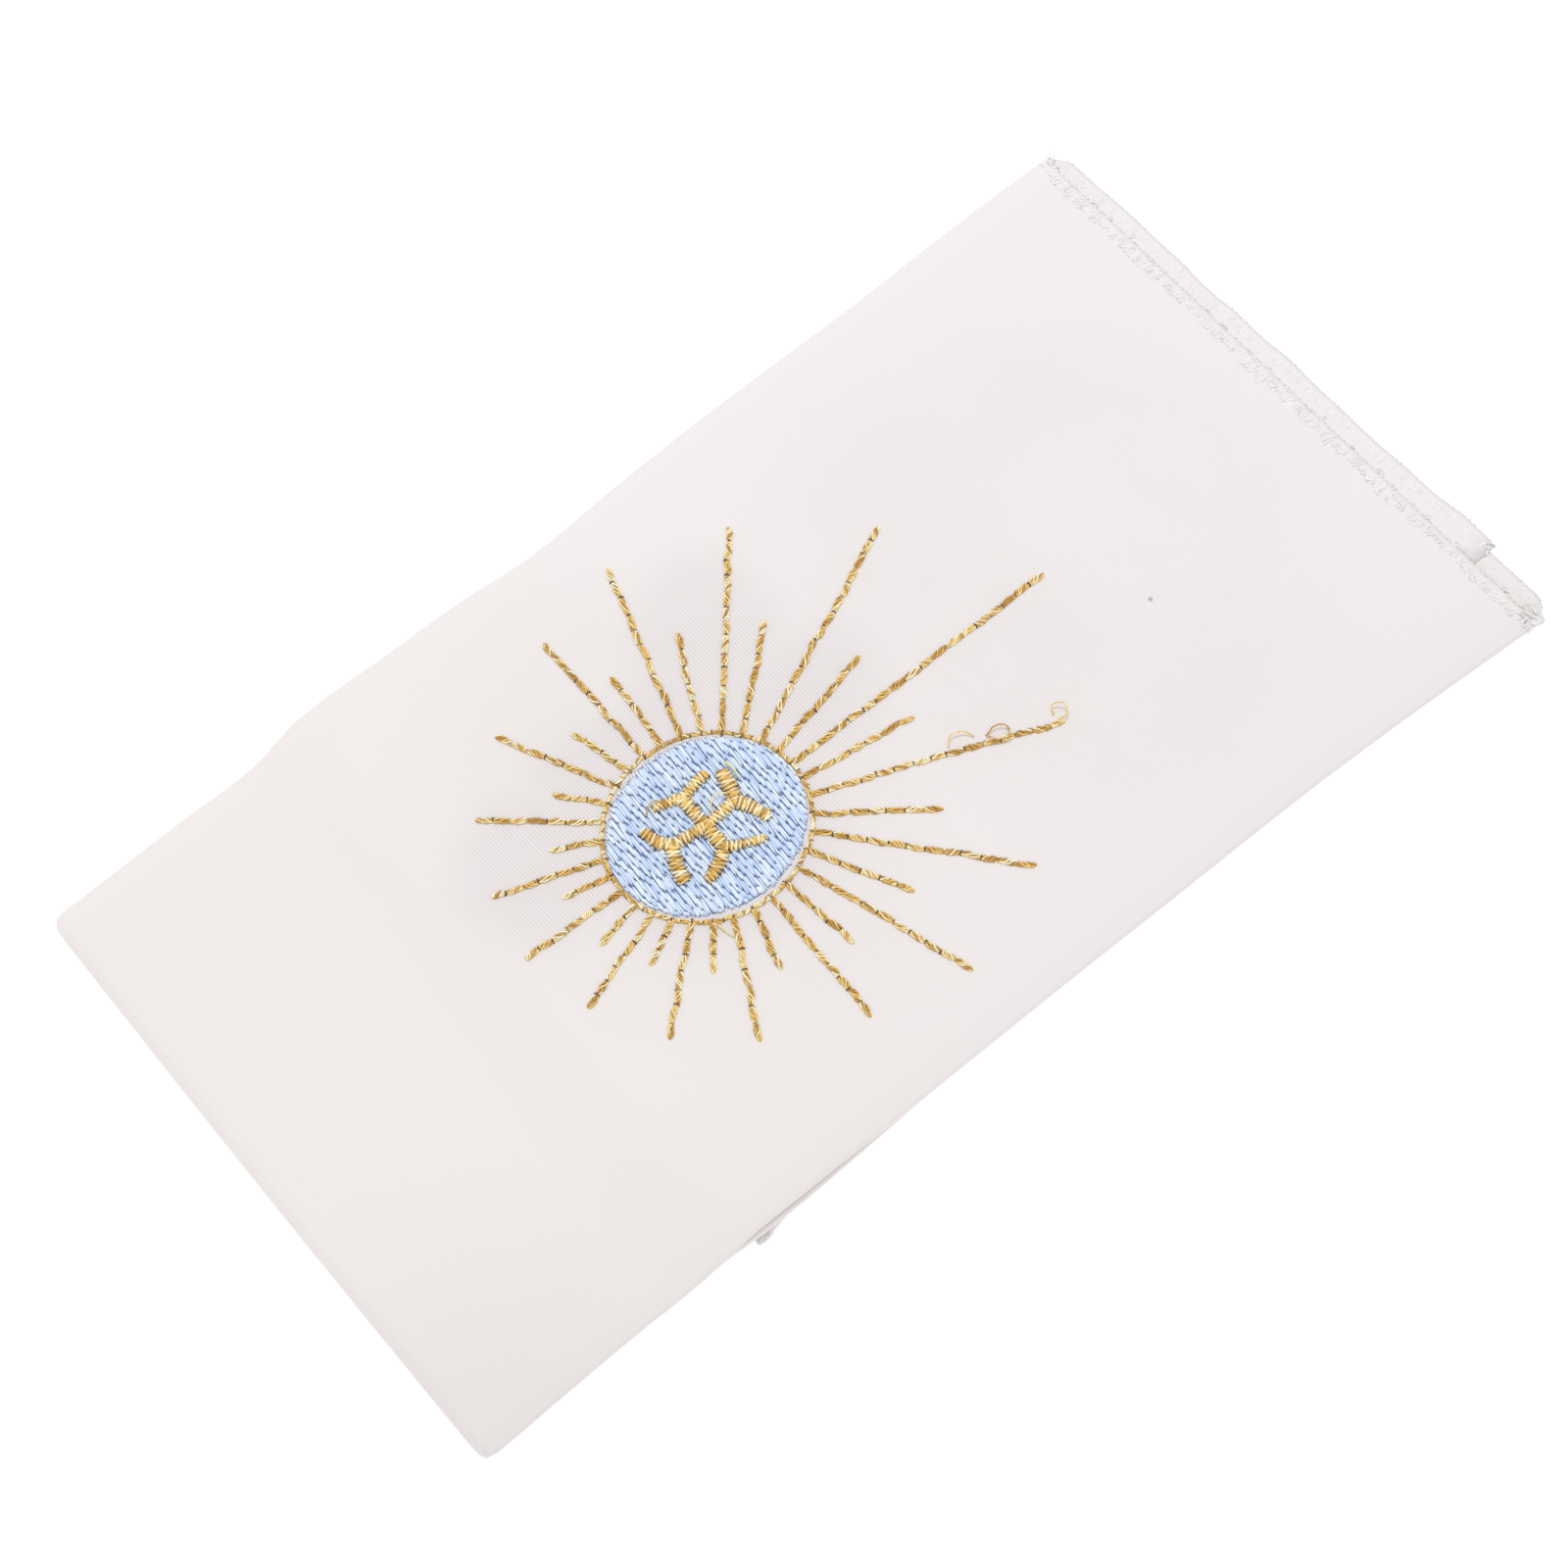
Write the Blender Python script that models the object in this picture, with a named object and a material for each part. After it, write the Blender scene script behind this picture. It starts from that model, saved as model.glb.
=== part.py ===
"""A folded altar cloth, lying flat: one piece of cloth in three layers joined by two round folds.

The cloth is first folded in three along its length and then in three across it, so each layer
here is a bundle of three plies. Seen from the side the layers run back and forth: the top layer
goes from its hem at +X to the left fold, the middle layer back to the right fold, and the bottom
layer stops short of the left fold, where the two layers above it step down to the table.
+X points to the hemmed end, +Y to the back edge, +Z up. The origin is under the middle.
"""
from collections import namedtuple

import bpy
import numpy as np

MM = 0.001

# Thickness of the cloth and the air in it, in millimetres
LAYER = 1.2
PLY = LAYER / 3.0
GAP = 0.4
RISE = LAYER + GAP
HALF = LAYER / 2.0
FOLD_RADIUS = RISE / 2.0
FOLD_REACH = FOLD_RADIUS + HALF
TINY = 0.001

# Plan of the long edges, in millimetres
HALF_WIDTH = 44.0
TOP_ROUND = 2.5
TOP_SAG = 0.5
CORNER = 2.0
HEM_STEP = 0.3
UNDER_PLY_CORNER = -34.4
BACK_SHARE = 0.2
DROP_LENGTH = 14.0
DROP_CLEAR = 0.5

# End lines across the width: place at the middle, lean for each millimetre of y, bow at the edges
End = namedtuple("End", "middle lean bow")
LEFT_FOLD = End(middle=-85.2, lean=0.046, bow=1.1)
RIGHT_FOLD = End(middle=84.1, lean=-0.046, bow=0.0)
TOP_HEM = End(middle=81.6, lean=-0.035, bow=0.0)
UNDER_HEM = End(middle=84.4, lean=-0.050, bow=0.0)
BOTTOM_HEM = End(middle=-42.8, lean=0.040, bow=0.0)

# Stations along the length: front and back edges of the top layer, how far the two lower
# layers lie inside the front edge, and how high the top layer swells at mid width. At the back
# they lie BACK_SHARE of that inside.
Station = namedtuple("Station", "x front back middle_in bottom_in swell")
STATIONS = (
    Station(x=-86.0, front=-44.6, back=43.2, middle_in=0.2, bottom_in=0.0, swell=0.00),
    Station(x=-62.0, front=-43.3, back=43.8, middle_in=0.2, bottom_in=0.0, swell=0.05),
    Station(x=-42.0, front=-42.7, back=44.8, middle_in=0.2, bottom_in=-0.7, swell=0.20),
    Station(x=-30.0, front=-42.9, back=44.0, middle_in=0.3, bottom_in=-0.5, swell=0.10),
    Station(x=-8.0, front=-43.6, back=43.5, middle_in=0.5, bottom_in=0.6, swell=0.30),
    Station(x=20.0, front=-43.6, back=44.1, middle_in=0.6, bottom_in=1.0, swell=0.10),
    Station(x=50.0, front=-43.9, back=44.3, middle_in=1.0, bottom_in=1.4, swell=0.30),
    Station(x=84.0, front=-45.0, back=45.0, middle_in=3.2, bottom_in=3.4, swell=0.00),
)

# Rows across the width: distances in from a long edge, then places between the two sides
EDGE_ROWS = np.array([0.0, 0.2, 0.6, 1.4, TOP_ROUND])
INNER_ROWS = np.array([UNDER_PLY_CORNER - 0.6, UNDER_PLY_CORNER + 0.4, -20.0, -6.0, 8.0, 22.0, 34.0])

# Steps in each stretch of the section
LONG_STEPS = 12
DROP_STEPS = 9
SHORT_STEPS = 4
FOLD_STEPS = 6

CLOTH_COLOUR = (0.86, 0.83, 0.81, 1.0)
CLOTH_ROUGHNESS = 0.9


def clear_scene():
    """Removes every object, so that the file holds this cloth alone."""
    for old in list(bpy.data.objects):
        bpy.data.objects.remove(old, do_unlink=True)


def smooth_step(share):
    """Rises from 0 to 1 with level ends."""
    share = np.clip(share, 0.0, 1.0)
    return share * share * (3.0 - 2.0 * share)


def along(x, column):
    """A column of STATIONS at x: a cubic between rows, whose slopes come from their neighbours."""
    places = np.array([row.x for row in STATIONS])
    values = np.array([getattr(row, column) for row in STATIONS])
    slopes = np.gradient(values, places)
    left = np.clip(np.searchsorted(places, x) - 1, 0, len(places) - 2)
    span = places[left + 1] - places[left]
    t = np.clip((x - places[left]) / span, 0.0, 1.0)
    rise = smooth_step(t)
    start_bend = t * (1.0 - t) ** 2 * span * slopes[left]
    end_bend = t * t * (t - 1.0) * span * slopes[left + 1]
    return values[left] + (values[left + 1] - values[left]) * rise + start_bend + end_bend


def rows_across():
    """For each row: distance in from its long edge, and its share of the way to the back edge."""
    inner_share = (INNER_ROWS + HALF_WIDTH - TOP_ROUND) / (2.0 * (HALF_WIDTH - TOP_ROUND))
    inset = np.concatenate([EDGE_ROWS, np.full(len(INNER_ROWS), TOP_ROUND), EDGE_ROWS[::-1]])
    edge_zero = np.zeros(len(EDGE_ROWS))
    share = np.concatenate([edge_zero, inner_share, edge_zero + 1.0])
    return inset, share


INSET, SHARE = rows_across()
PLAIN_Y = (INSET - HALF_WIDTH) * (1.0 - SHARE) + (HALF_WIDTH - INSET) * SHARE
CORNER_CUT = CORNER - np.sqrt(CORNER ** 2 - (CORNER - np.minimum(INSET, CORNER)) ** 2)


def end_line(end):
    """Where an end line crosses each row."""
    return end.middle + end.lean * PLAIN_Y + end.bow * (PLAIN_Y / HALF_WIDTH) ** 2


LEFT = end_line(LEFT_FOLD) + CORNER_CUT + FOLD_REACH
RIGHT = end_line(RIGHT_FOLD) - CORNER_CUT - FOLD_REACH
HEM = end_line(TOP_HEM) - CORNER_CUT / 2.0
BOTTOM = end_line(BOTTOM_HEM)
UNDER = np.where(PLAIN_Y > UNDER_PLY_CORNER, end_line(UNDER_HEM), HEM + HEM_STEP)


def middle_height(x):
    """Mid height of the middle layer: level over the bottom layer, then down to the table."""
    return HALF + RISE * smooth_step((x - BOTTOM + DROP_LENGTH) / (DROP_LENGTH - DROP_CLEAR))


def top_height(x):
    """Mid height of the top layer: it follows the middle layer, and swells a little between."""
    crown = 1.0 - (PLAIN_Y / HALF_WIDTH) ** 2
    return middle_height(x) + RISE + along(x, "swell") * crown


def bottom_height(x):
    """Mid height of the bottom layer, flat on the table."""
    return np.full_like(x, HALF)


Section = namedtuple("Section", "x z normal_x normal_z depth")


def run(start, stop, steps, height, facing, depth):
    """One stretch of a layer: points on its mid line and the way that the outer face looks."""
    t = np.linspace(0.0, 1.0, steps + 1)[:, None]
    x = start + (stop - start) * t
    slope = (height(x + GAP) - height(x - GAP)) / (2.0 * GAP)
    size = np.hypot(slope, 1.0)
    return Section(x, height(x), -facing * slope / size, facing / size, np.full_like(x, depth))


def fold(centre_x, side, depth):
    """A half round from an upper layer down to the next, on the left (-1) or the right (+1)."""
    t = np.linspace(0.0, 1.0, FOLD_STEPS + 1)[1:-1, None]
    angle = np.pi / 2.0 - side * np.pi * t + 0.0 * centre_x
    x = centre_x + FOLD_RADIUS * np.cos(angle)
    z = HALF + FOLD_RADIUS + FOLD_RADIUS * np.sin(angle)
    return Section(x, z, -side * np.cos(angle), -side * np.sin(angle), depth + t + 0.0 * x)


def section():
    """The whole back-and-forth section, from the top hem to the bottom hem, row by row."""
    over_end = BOTTOM + GAP + HALF
    past_drop = BOTTOM - DROP_LENGTH
    parts = (
        run(UNDER, HEM, 1, top_height, 1.0, 0.0),
        run(HEM - HEM_STEP, over_end, LONG_STEPS, top_height, 1.0, 0.0),
        run(over_end, past_drop, DROP_STEPS, top_height, 1.0, 0.0),
        run(past_drop, LEFT, SHORT_STEPS, top_height, 1.0, 0.0),
        fold(LEFT, -1, 0.0),
        run(LEFT, past_drop, SHORT_STEPS, middle_height, -1.0, 1.0),
        run(past_drop, over_end, DROP_STEPS, middle_height, -1.0, 1.0),
        run(over_end, RIGHT, LONG_STEPS, middle_height, -1.0, 1.0),
        fold(RIGHT, 1, 1.0),
        run(RIGHT, BOTTOM, LONG_STEPS, bottom_height, 1.0, 2.0),
    )
    joined = Section(*(np.concatenate(columns) for columns in zip(*parts)))
    step = np.hypot(np.diff(joined.x, axis=0), np.diff(joined.z, axis=0)).max(axis=1)
    kept = np.concatenate([[True], step > TINY])
    return Section(*(values[kept] for values in joined))


def place_across(line):
    """y of every point: rows spread between the edges of the layer that the point is on."""
    middle_in = along(line.x, "middle_in") * np.clip(line.depth, 0.0, 1.0)
    lower = np.clip(line.depth - 1.0, 0.0, 1.0)
    inside = middle_in * (1.0 - lower) + along(line.x, "bottom_in") * lower
    front = along(line.x, "front") + inside + INSET
    back = along(line.x, "back") - BACK_SHARE * inside - INSET
    return front * (1.0 - SHARE) + back * SHARE


def face_offsets(line):
    """How far the outer and inner faces stand off the mid line.

    The long edges of a lower layer are half rounds. The top layer's outer face comes down to
    its edge in a wider quarter round, because the cloth there turns under to the other plies.
    """
    narrow = 1.0 - np.minimum(INSET / HALF, 1.0)
    wide = 1.0 - INSET / TOP_ROUND
    half_round = HALF * np.sqrt(1.0 - narrow ** 2)
    top_outer = -TOP_SAG + (HALF + TOP_SAG) * np.sqrt(1.0 - wide ** 2)
    top_inner = -HALF + (HALF - TOP_SAG) * narrow ** 2
    on_top = 1.0 - smooth_step(line.depth)
    outer = on_top * top_outer + (1.0 - on_top) * half_round
    inner = on_top * top_inner - (1.0 - on_top) * half_round
    past_hem = (line.depth == 0.0) & (line.x > HEM - HEM_STEP / 2.0)
    return np.where(past_hem, np.minimum(outer, HALF - PLY), outer), inner


def face_list(outer, inner):
    """Quads of both faces and the two cut ends, with the shared edge points left out once."""
    def quads(grid):
        return np.stack([grid[:-1, :-1], grid[:-1, 1:], grid[1:, 1:], grid[1:, :-1]], axis=-1).reshape(-1, 4)

    start = np.stack([inner[0], outer[0]])
    stop = np.stack([outer[-1], inner[-1]])
    every = np.concatenate([quads(outer), quads(inner)[:, ::-1], quads(start), quads(stop)])
    return [list(dict.fromkeys(quad)) for quad in every.tolist()]


def cloth_mesh():
    """The layered cloth as one closed mesh."""
    line = section()
    y = place_across(line)
    outer_off, inner_off = face_offsets(line)
    outer_points, inner_points = (
        np.stack([line.x + line.normal_x * off, y, line.z + line.normal_z * off], axis=-1)
        for off in (outer_off, inner_off)
    )
    columns, rows = line.x.shape
    outer = np.arange(columns * rows).reshape(columns, rows)
    inner = outer.copy()
    inner[:, 1:-1] = columns * rows + np.arange(columns * (rows - 2)).reshape(columns, rows - 2)
    points = np.concatenate([outer_points.reshape(-1, 3), inner_points[:, 1:-1].reshape(-1, 3)]) * MM
    mesh = bpy.data.meshes.new("cloth")
    mesh.from_pydata(points.tolist(), [], face_list(outer, inner))
    mesh.update()
    return mesh


def cloth_material():
    """Fine off-white cotton, matt."""
    material = bpy.data.materials.new("white_cotton")
    material.use_nodes = True
    shader = material.node_tree.nodes["Principled BSDF"]
    shader.inputs["Base Color"].default_value = CLOTH_COLOUR
    shader.inputs["Roughness"].default_value = CLOTH_ROUGHNESS
    shader.inputs["Metallic"].default_value = 0.0
    return material


def build():
    """Makes the cloth."""
    clear_scene()
    mesh = cloth_mesh()
    mesh.materials.append(cloth_material())
    mesh.shade_smooth()
    mesh.set_sharp_from_angle(angle=np.radians(40.0))
    cloth = bpy.data.objects.new("cloth", mesh)
    bpy.context.scene.collection.objects.link(cloth)


build()
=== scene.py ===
"""Looks of a folded altar cloth: fine white cotton with a gold sun round a forked cross.

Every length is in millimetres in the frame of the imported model, and MM turns it into metres.
The cloth is one sheet. A place on it is given by k along its length and u across its width:

* k runs from the top hem to the bottom hem: 0 to 1 along the top layer, 1 to 2 round the left
  fold, 2 to 3 along the middle layer, 3 to 4 round the right fold, 4 to 5 along the bottom layer.
* u runs across the three panels of each layer: the under panel from its free edge to the front
  fold, the face panel to the back fold, and the tucked panel to its own free edge between them.

A third number, lift, is a height above the middle of the cloth on its embroidered side.
"""

from collections import namedtuple

import bpy
import numpy as np
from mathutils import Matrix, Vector


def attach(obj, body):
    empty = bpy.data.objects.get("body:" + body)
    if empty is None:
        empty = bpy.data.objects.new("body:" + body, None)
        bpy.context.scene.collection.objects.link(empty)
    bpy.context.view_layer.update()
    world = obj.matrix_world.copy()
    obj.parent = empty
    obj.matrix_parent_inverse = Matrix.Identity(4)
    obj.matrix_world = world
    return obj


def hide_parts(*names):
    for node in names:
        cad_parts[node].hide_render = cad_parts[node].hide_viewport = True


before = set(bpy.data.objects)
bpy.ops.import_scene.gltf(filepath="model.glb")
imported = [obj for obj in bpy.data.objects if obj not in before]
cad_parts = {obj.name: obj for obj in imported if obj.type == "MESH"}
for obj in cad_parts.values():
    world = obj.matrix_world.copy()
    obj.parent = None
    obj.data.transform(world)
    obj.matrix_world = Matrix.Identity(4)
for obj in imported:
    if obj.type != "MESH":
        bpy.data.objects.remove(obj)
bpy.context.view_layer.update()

MM = 0.001
RANDOM = np.random.default_rng(31)

# Layers of the packet, as in the solid
LAYER = 1.2
PLY = LAYER / 3.0
GAP = 0.4
RISE = LAYER + GAP
HALF = LAYER / 2.0
FOLD_RADIUS = RISE / 2.0
FOLD_REACH = FOLD_RADIUS + HALF
HALF_WIDTH = 44.0
CORNER = 1.1
BACK_SHARE = 0.2
DROP_LENGTH = 14.0
DROP_CLEAR = 0.5

# The cloth itself
THICK = 0.32
SURFACE = THICK / 2.0
ROUND = 3.0
FOLD_EDGE = 0.6
SAG = 0.40
HEM_PRESS = 0.50
HEM_PRESS_LESS = 0.20
HEM_THIN = 0.4
HEM_REACH = 2.6

# Lines across the width: place at the middle, lean for each millimetre of y, bow at the edges
End = namedtuple("End", "middle lean bow")
LEFT_FOLD = End(middle=-85.47, lean=0.045, bow=0.3)
RIGHT_FOLD = End(middle=84.1, lean=-0.046, bow=0.0)
FACE_HEM = End(middle=81.4, lean=-0.022, bow=0.0)
TUCKED_HEM = End(middle=84.4, lean=-0.038, bow=0.0)
UNDER_HEM = End(middle=83.7, lean=-0.040, bow=0.0)
BOTTOM_HEM = End(middle=-42.8, lean=0.040, bow=0.0)
HEM_TURN = 3.0
BOTTOM_STEP = 0.3

# Stations along the length: edges of the top layer, how far in the lower ones lie, and its swell
Station = namedtuple("Station", "x front back middle_in bottom_in swell")
STATIONS = (
    Station(x=-86.0, front=-44.6, back=43.8, middle_in=0.6, bottom_in=0.0, swell=0.00),
    Station(x=-62.0, front=-44.0, back=44.0, middle_in=0.6, bottom_in=-0.6, swell=0.05),
    Station(x=-50.0, front=-44.1, back=44.0, middle_in=0.3, bottom_in=-0.9, swell=0.12),
    Station(x=-44.0, front=-43.8, back=44.8, middle_in=-0.4, bottom_in=-0.8, swell=0.18),
    Station(x=-38.0, front=-43.8, back=44.9, middle_in=-0.45, bottom_in=0.2, swell=0.17),
    Station(x=-30.0, front=-43.8, back=44.6, middle_in=-0.25, bottom_in=0.4, swell=0.12),
    Station(x=-18.0, front=-43.9, back=44.3, middle_in=0.3, bottom_in=0.9, swell=0.22),
    Station(x=-8.0, front=-43.9, back=43.5, middle_in=0.6, bottom_in=1.2, swell=0.30),
    Station(x=8.0, front=-43.9, back=44.1, middle_in=0.6, bottom_in=1.2, swell=0.18),
    Station(x=20.0, front=-44.0, back=44.4, middle_in=0.6, bottom_in=1.2, swell=0.10),
    Station(x=50.0, front=-44.3, back=44.3, middle_in=0.8, bottom_in=1.4, swell=0.30),
    Station(x=66.0, front=-45.0, back=44.6, middle_in=1.5, bottom_in=2.0, swell=0.16),
    Station(x=84.0, front=-46.1, back=44.4, middle_in=3.4, bottom_in=3.6, swell=0.00),
)

# Panels across the width: the two lengthwise folds, how square the front one is, and free edges
FRONT_TURN = PLY
FRONT_SQUARE = 0.7
BACK_TURN = PLY / 2.0
FRONT_CENTRE = -HALF_WIDTH + SURFACE + FRONT_TURN
BACK_CENTRE = HALF_WIDTH - SURFACE - BACK_TURN
UNDER_EDGE = 39.6
TUCKED_EDGE = -32.8
TUCKED_REACH = 0.6
TUCKED_FROM = 22.0
TUCKED_RUN = 9.0
U_FRONT = UNDER_EDGE - FRONT_CENTRE
U_FACE = U_FRONT + np.pi * FRONT_TURN
U_BACK = U_FACE + BACK_CENTRE - FRONT_CENTRE
U_TUCK = U_BACK + np.pi * BACK_TURN
WIDTH = U_TUCK + BACK_CENTRE - TUCKED_EDGE

# The sun: its centre on the packet, its turn, and the disc with its ring
SUN_X = -14.6
SUN_Y = 0.2
SUN_TURN = np.radians(-1.1)
RING_X = 13.5
RING_Y = 12.3
DISC_X = 13.05
DISC_Y = 11.35
DISC_RISE = 0.12
RAYS = 32
STITCH = 2.25


def smooth_step(share):
    """Rises from 0 to 1 with level ends: 3 s squared minus 2 s cubed."""
    share = np.clip(share, 0.0, 1.0)
    return share * share * (3.0 - 2.0 * share)


def unit(vectors):
    """Vectors divided by their length."""
    return vectors / np.maximum(np.linalg.norm(vectors, axis=-1, keepdims=True), 1e-9)


def along(x, column):
    """A column of STATIONS at x: a cubic between rows, whose slopes come from their neighbours."""
    places = np.array([row.x for row in STATIONS])
    values = np.array([getattr(row, column) for row in STATIONS])
    slopes = np.gradient(values, places)
    left = np.clip(np.searchsorted(places, x) - 1, 0, len(places) - 2)
    span = places[left + 1] - places[left]
    t = np.clip((x - places[left]) / span, 0.0, 1.0)
    rise = smooth_step(t)
    start_bend = t * (1.0 - t) ** 2 * span * slopes[left]
    end_bend = t * t * (t - 1.0) * span * slopes[left + 1]
    return values[left] + (values[left + 1] - values[left]) * rise + start_bend + end_bend


def end_line(end, y):
    """x of an end line at y: its middle, plus lean times y, plus bow times (y / half width) squared."""
    return end.middle + end.lean * y + end.bow * (y / HALF_WIDTH) ** 2


# Soft unevenness of the top layer: height, place, size along and across, turn in degrees
Hump = namedtuple("Hump", "high x y long wide turn")
HUMPS = (
    Hump(high=0.10, x=-46.0, y=0.0, long=3.2, wide=60.0, turn=2.0),
    Hump(high=-0.10, x=-58.0, y=-20.0, long=26.0, wide=5.0, turn=14.0),
    Hump(high=0.12, x=-66.0, y=14.0, long=16.0, wide=9.0, turn=-20.0),
    Hump(high=0.16, x=26.0, y=30.0, long=34.0, wide=6.0, turn=-4.0),
    Hump(high=-0.12, x=34.0, y=18.0, long=24.0, wide=5.0, turn=-14.0),
    Hump(high=0.14, x=52.0, y=-24.0, long=26.0, wide=8.0, turn=10.0),
    Hump(high=-0.10, x=14.0, y=-34.0, long=22.0, wide=4.0, turn=6.0),
    Hump(high=0.12, x=-30.0, y=34.0, long=14.0, wide=6.0, turn=24.0),
    Hump(high=-0.14, x=70.0, y=6.0, long=7.0, wide=26.0, turn=-6.0),
)
PUCKER = 0.09
PUCKER_REACH = 9.0


def relief(x, y):
    """Small humps and hollows of the top layer.

    Each hump is a bell, exp(-(a / long) squared - (b / wide) squared), with a and b measured from
    its middle along its own turned axes. Round the sun the cloth is drawn in: a shallow moat
    outside the ring, and puckers between the rays, which are a cosine of the angle round it.
    """
    height = np.zeros_like(x)
    for hump in HUMPS:
        turn = np.radians(hump.turn)
        a = (x - hump.x) * np.cos(turn) + (y - hump.y) * np.sin(turn)
        b = (y - hump.y) * np.cos(turn) - (x - hump.x) * np.sin(turn)
        height = height + hump.high * np.exp(-((a / hump.long) ** 2) - (b / hump.wide) ** 2)
    from_sun_x = (x - SUN_X) / RING_X
    from_sun_y = (y - SUN_Y) / RING_Y
    reach = np.hypot(from_sun_x, from_sun_y)
    angle = np.arctan2(from_sun_y, from_sun_x)
    out = (reach - 1.0) * RING_Y
    moat = -np.exp(-(((out - 2.0) / 3.0) ** 2))
    ripple = np.cos(RAYS * (angle - SUN_TURN) / 2.0) * np.exp(-(((out - PUCKER_REACH) / PUCKER_REACH) ** 2))
    return height + PUCKER * (moat + 0.5 * ripple)


def middle_height(x, y):
    """Mid height of the middle layer: level over the bottom layer, then down to the table."""
    over_edge = x - end_line(BOTTOM_HEM, y) + DROP_LENGTH
    return HALF + RISE * smooth_step(over_edge / (DROP_LENGTH - DROP_CLEAR))


def top_height(x, y):
    """Mid height of the top layer: it follows the middle layer, swells a little and is uneven."""
    crown = 1.0 - (y / HALF_WIDTH) ** 2
    ends = smooth_step((x + 84.0) / 8.0) * smooth_step((HALF_WIDTH - np.abs(y)) / 5.0)
    return middle_height(x, y) + RISE + along(x, "swell") * crown + relief(x, y) * ends


def bottom_height(x, y):
    """Mid height of the bottom layer, flat on the table."""
    return HALF + 0.0 * x + 0.0 * y


def across(u):
    """Where u lies across a layer: y on a plain packet, offset above the layer's middle, normal.

    The under panel lies at minus one ply, the face panel at plus one ply and the tucked panel
    between them. They are joined by a turn of one ply's radius at the front fold, which is squarer
    than a half circle as its cosine is raised to FRONT_SQUARE, and by a half circle of half a ply
    at the back fold. The last value is 0 on the face panel, 1 on the tucked panel and 2 on the
    under panel.
    """
    front_turn = np.pi * (u - U_FRONT) / (U_FACE - U_FRONT) - np.pi / 2.0
    back_turn = np.pi / 2.0 - np.pi * (u - U_BACK) / (U_TUCK - U_BACK)
    zero = 0.0 * u
    places = [u < U_FRONT, u < U_FACE, u < U_BACK, u < U_TUCK]
    y = np.select(
        places,
        [
            FRONT_CENTRE + U_FRONT - u,
            FRONT_CENTRE - FRONT_TURN * np.abs(np.cos(front_turn)) ** FRONT_SQUARE,
            FRONT_CENTRE + u - U_FACE,
            BACK_CENTRE + BACK_TURN * np.cos(back_turn),
        ],
        BACK_CENTRE + U_TUCK - u,
    )
    offset = np.select(
        places,
        [zero - PLY, PLY * np.sin(front_turn), zero + PLY, BACK_TURN + BACK_TURN * np.sin(back_turn)],
        zero,
    )
    normal_y = np.select(places, [zero, -np.cos(front_turn), zero, np.cos(back_turn)], zero)
    normal_up = np.select(places, [zero - 1.0, np.sin(front_turn), zero + 1.0, np.sin(back_turn)], zero - 1.0)
    panel = np.select(
        places,
        [zero + 2.0, 1.0 - np.sin(front_turn), zero, (1.0 - np.sin(back_turn)) / 2.0],
        zero + 1.0,
    )
    return y, offset, normal_y, normal_up, panel


def hem_line(u, y, panel):
    """x of the top hem: each panel has its own line, and they run into each other at the folds."""
    face = end_line(FACE_HEM, y)
    tucked = end_line(TUCKED_HEM, y) + tucked_wave(y)
    under = end_line(UNDER_HEM, y)
    back_half = 0.5 * (tucked - face)
    front_half = 0.5 * (under - face)
    near_back = smooth_step((y - HALF_WIDTH + HEM_TURN) / HEM_TURN)
    near_front = smooth_step((-y - HALF_WIDTH + HEM_TURN) / HEM_TURN)
    on_face = face + back_half * near_back + front_half * near_front
    on_tucked = tucked - back_half * near_back
    on_under = under - front_half * near_front
    on_front_turn = (u >= U_FRONT) & (u < U_FACE)
    on_back_turn = (panel > 0.0) & (panel < 1.0) & (u > U_BACK)
    x = np.where(u < U_FRONT, on_under, np.where(u > U_TUCK, on_tucked, on_face))
    return np.where(on_front_turn | on_back_turn, on_face, x)


def tucked_wave(y):
    """Slight waviness of the tucked panel's hem: two sines, and a reach near its front corner."""
    reach = TUCKED_REACH * smooth_step((-y - TUCKED_FROM) / TUCKED_RUN)
    return reach + 0.16 * np.sin(y / 1.55) * (0.6 + 0.4 * np.sin(y / 7.0)) + 0.12 * np.sin(y / 4.3 + 1.0)


Row = namedtuple("Row", "y offset normal_y normal_up inset hem left right bottom panel")


def row_at(u):
    """Everything that depends on u alone: the cross-section and where the end lines cross it."""
    y, offset, normal_y, normal_up, panel = across(u)
    inset = HALF_WIDTH - np.abs(y)
    cut = CORNER - np.sqrt(CORNER ** 2 - (CORNER - np.clip(inset, 0.0, CORNER)) ** 2)
    hem = hem_line(u, y, panel) - cut / 2.0
    left = end_line(LEFT_FOLD, y) + cut + FOLD_REACH
    right = end_line(RIGHT_FOLD, y) - cut - FOLD_REACH
    bottom = end_line(BOTTOM_HEM, y) + BOTTOM_STEP * panel
    return Row(y, offset, normal_y, normal_up, inset, hem, left, right, bottom, panel)


def lengths(row):
    """Length of each of the five stretches of the section along a row."""
    turn = np.pi * FOLD_RADIUS + 0.0 * row.left
    return row.hem - row.left, turn, row.right - row.left, turn, row.right - row.bottom


def flat_length(k, row):
    """How far k lies from the top hem along the flat cloth."""
    return sum(size * np.clip(k - step, 0.0, 1.0) for step, size in enumerate(lengths(row)))


def straight(x, y, height, facing):
    """Height of a straight stretch at x, and its normal, which leans with its slope."""
    slope = (height(x + GAP, y) - height(x - GAP, y)) / (2.0 * GAP)
    size = np.hypot(slope, 1.0)
    return height(x, y), -facing * slope / size, facing / size


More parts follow.
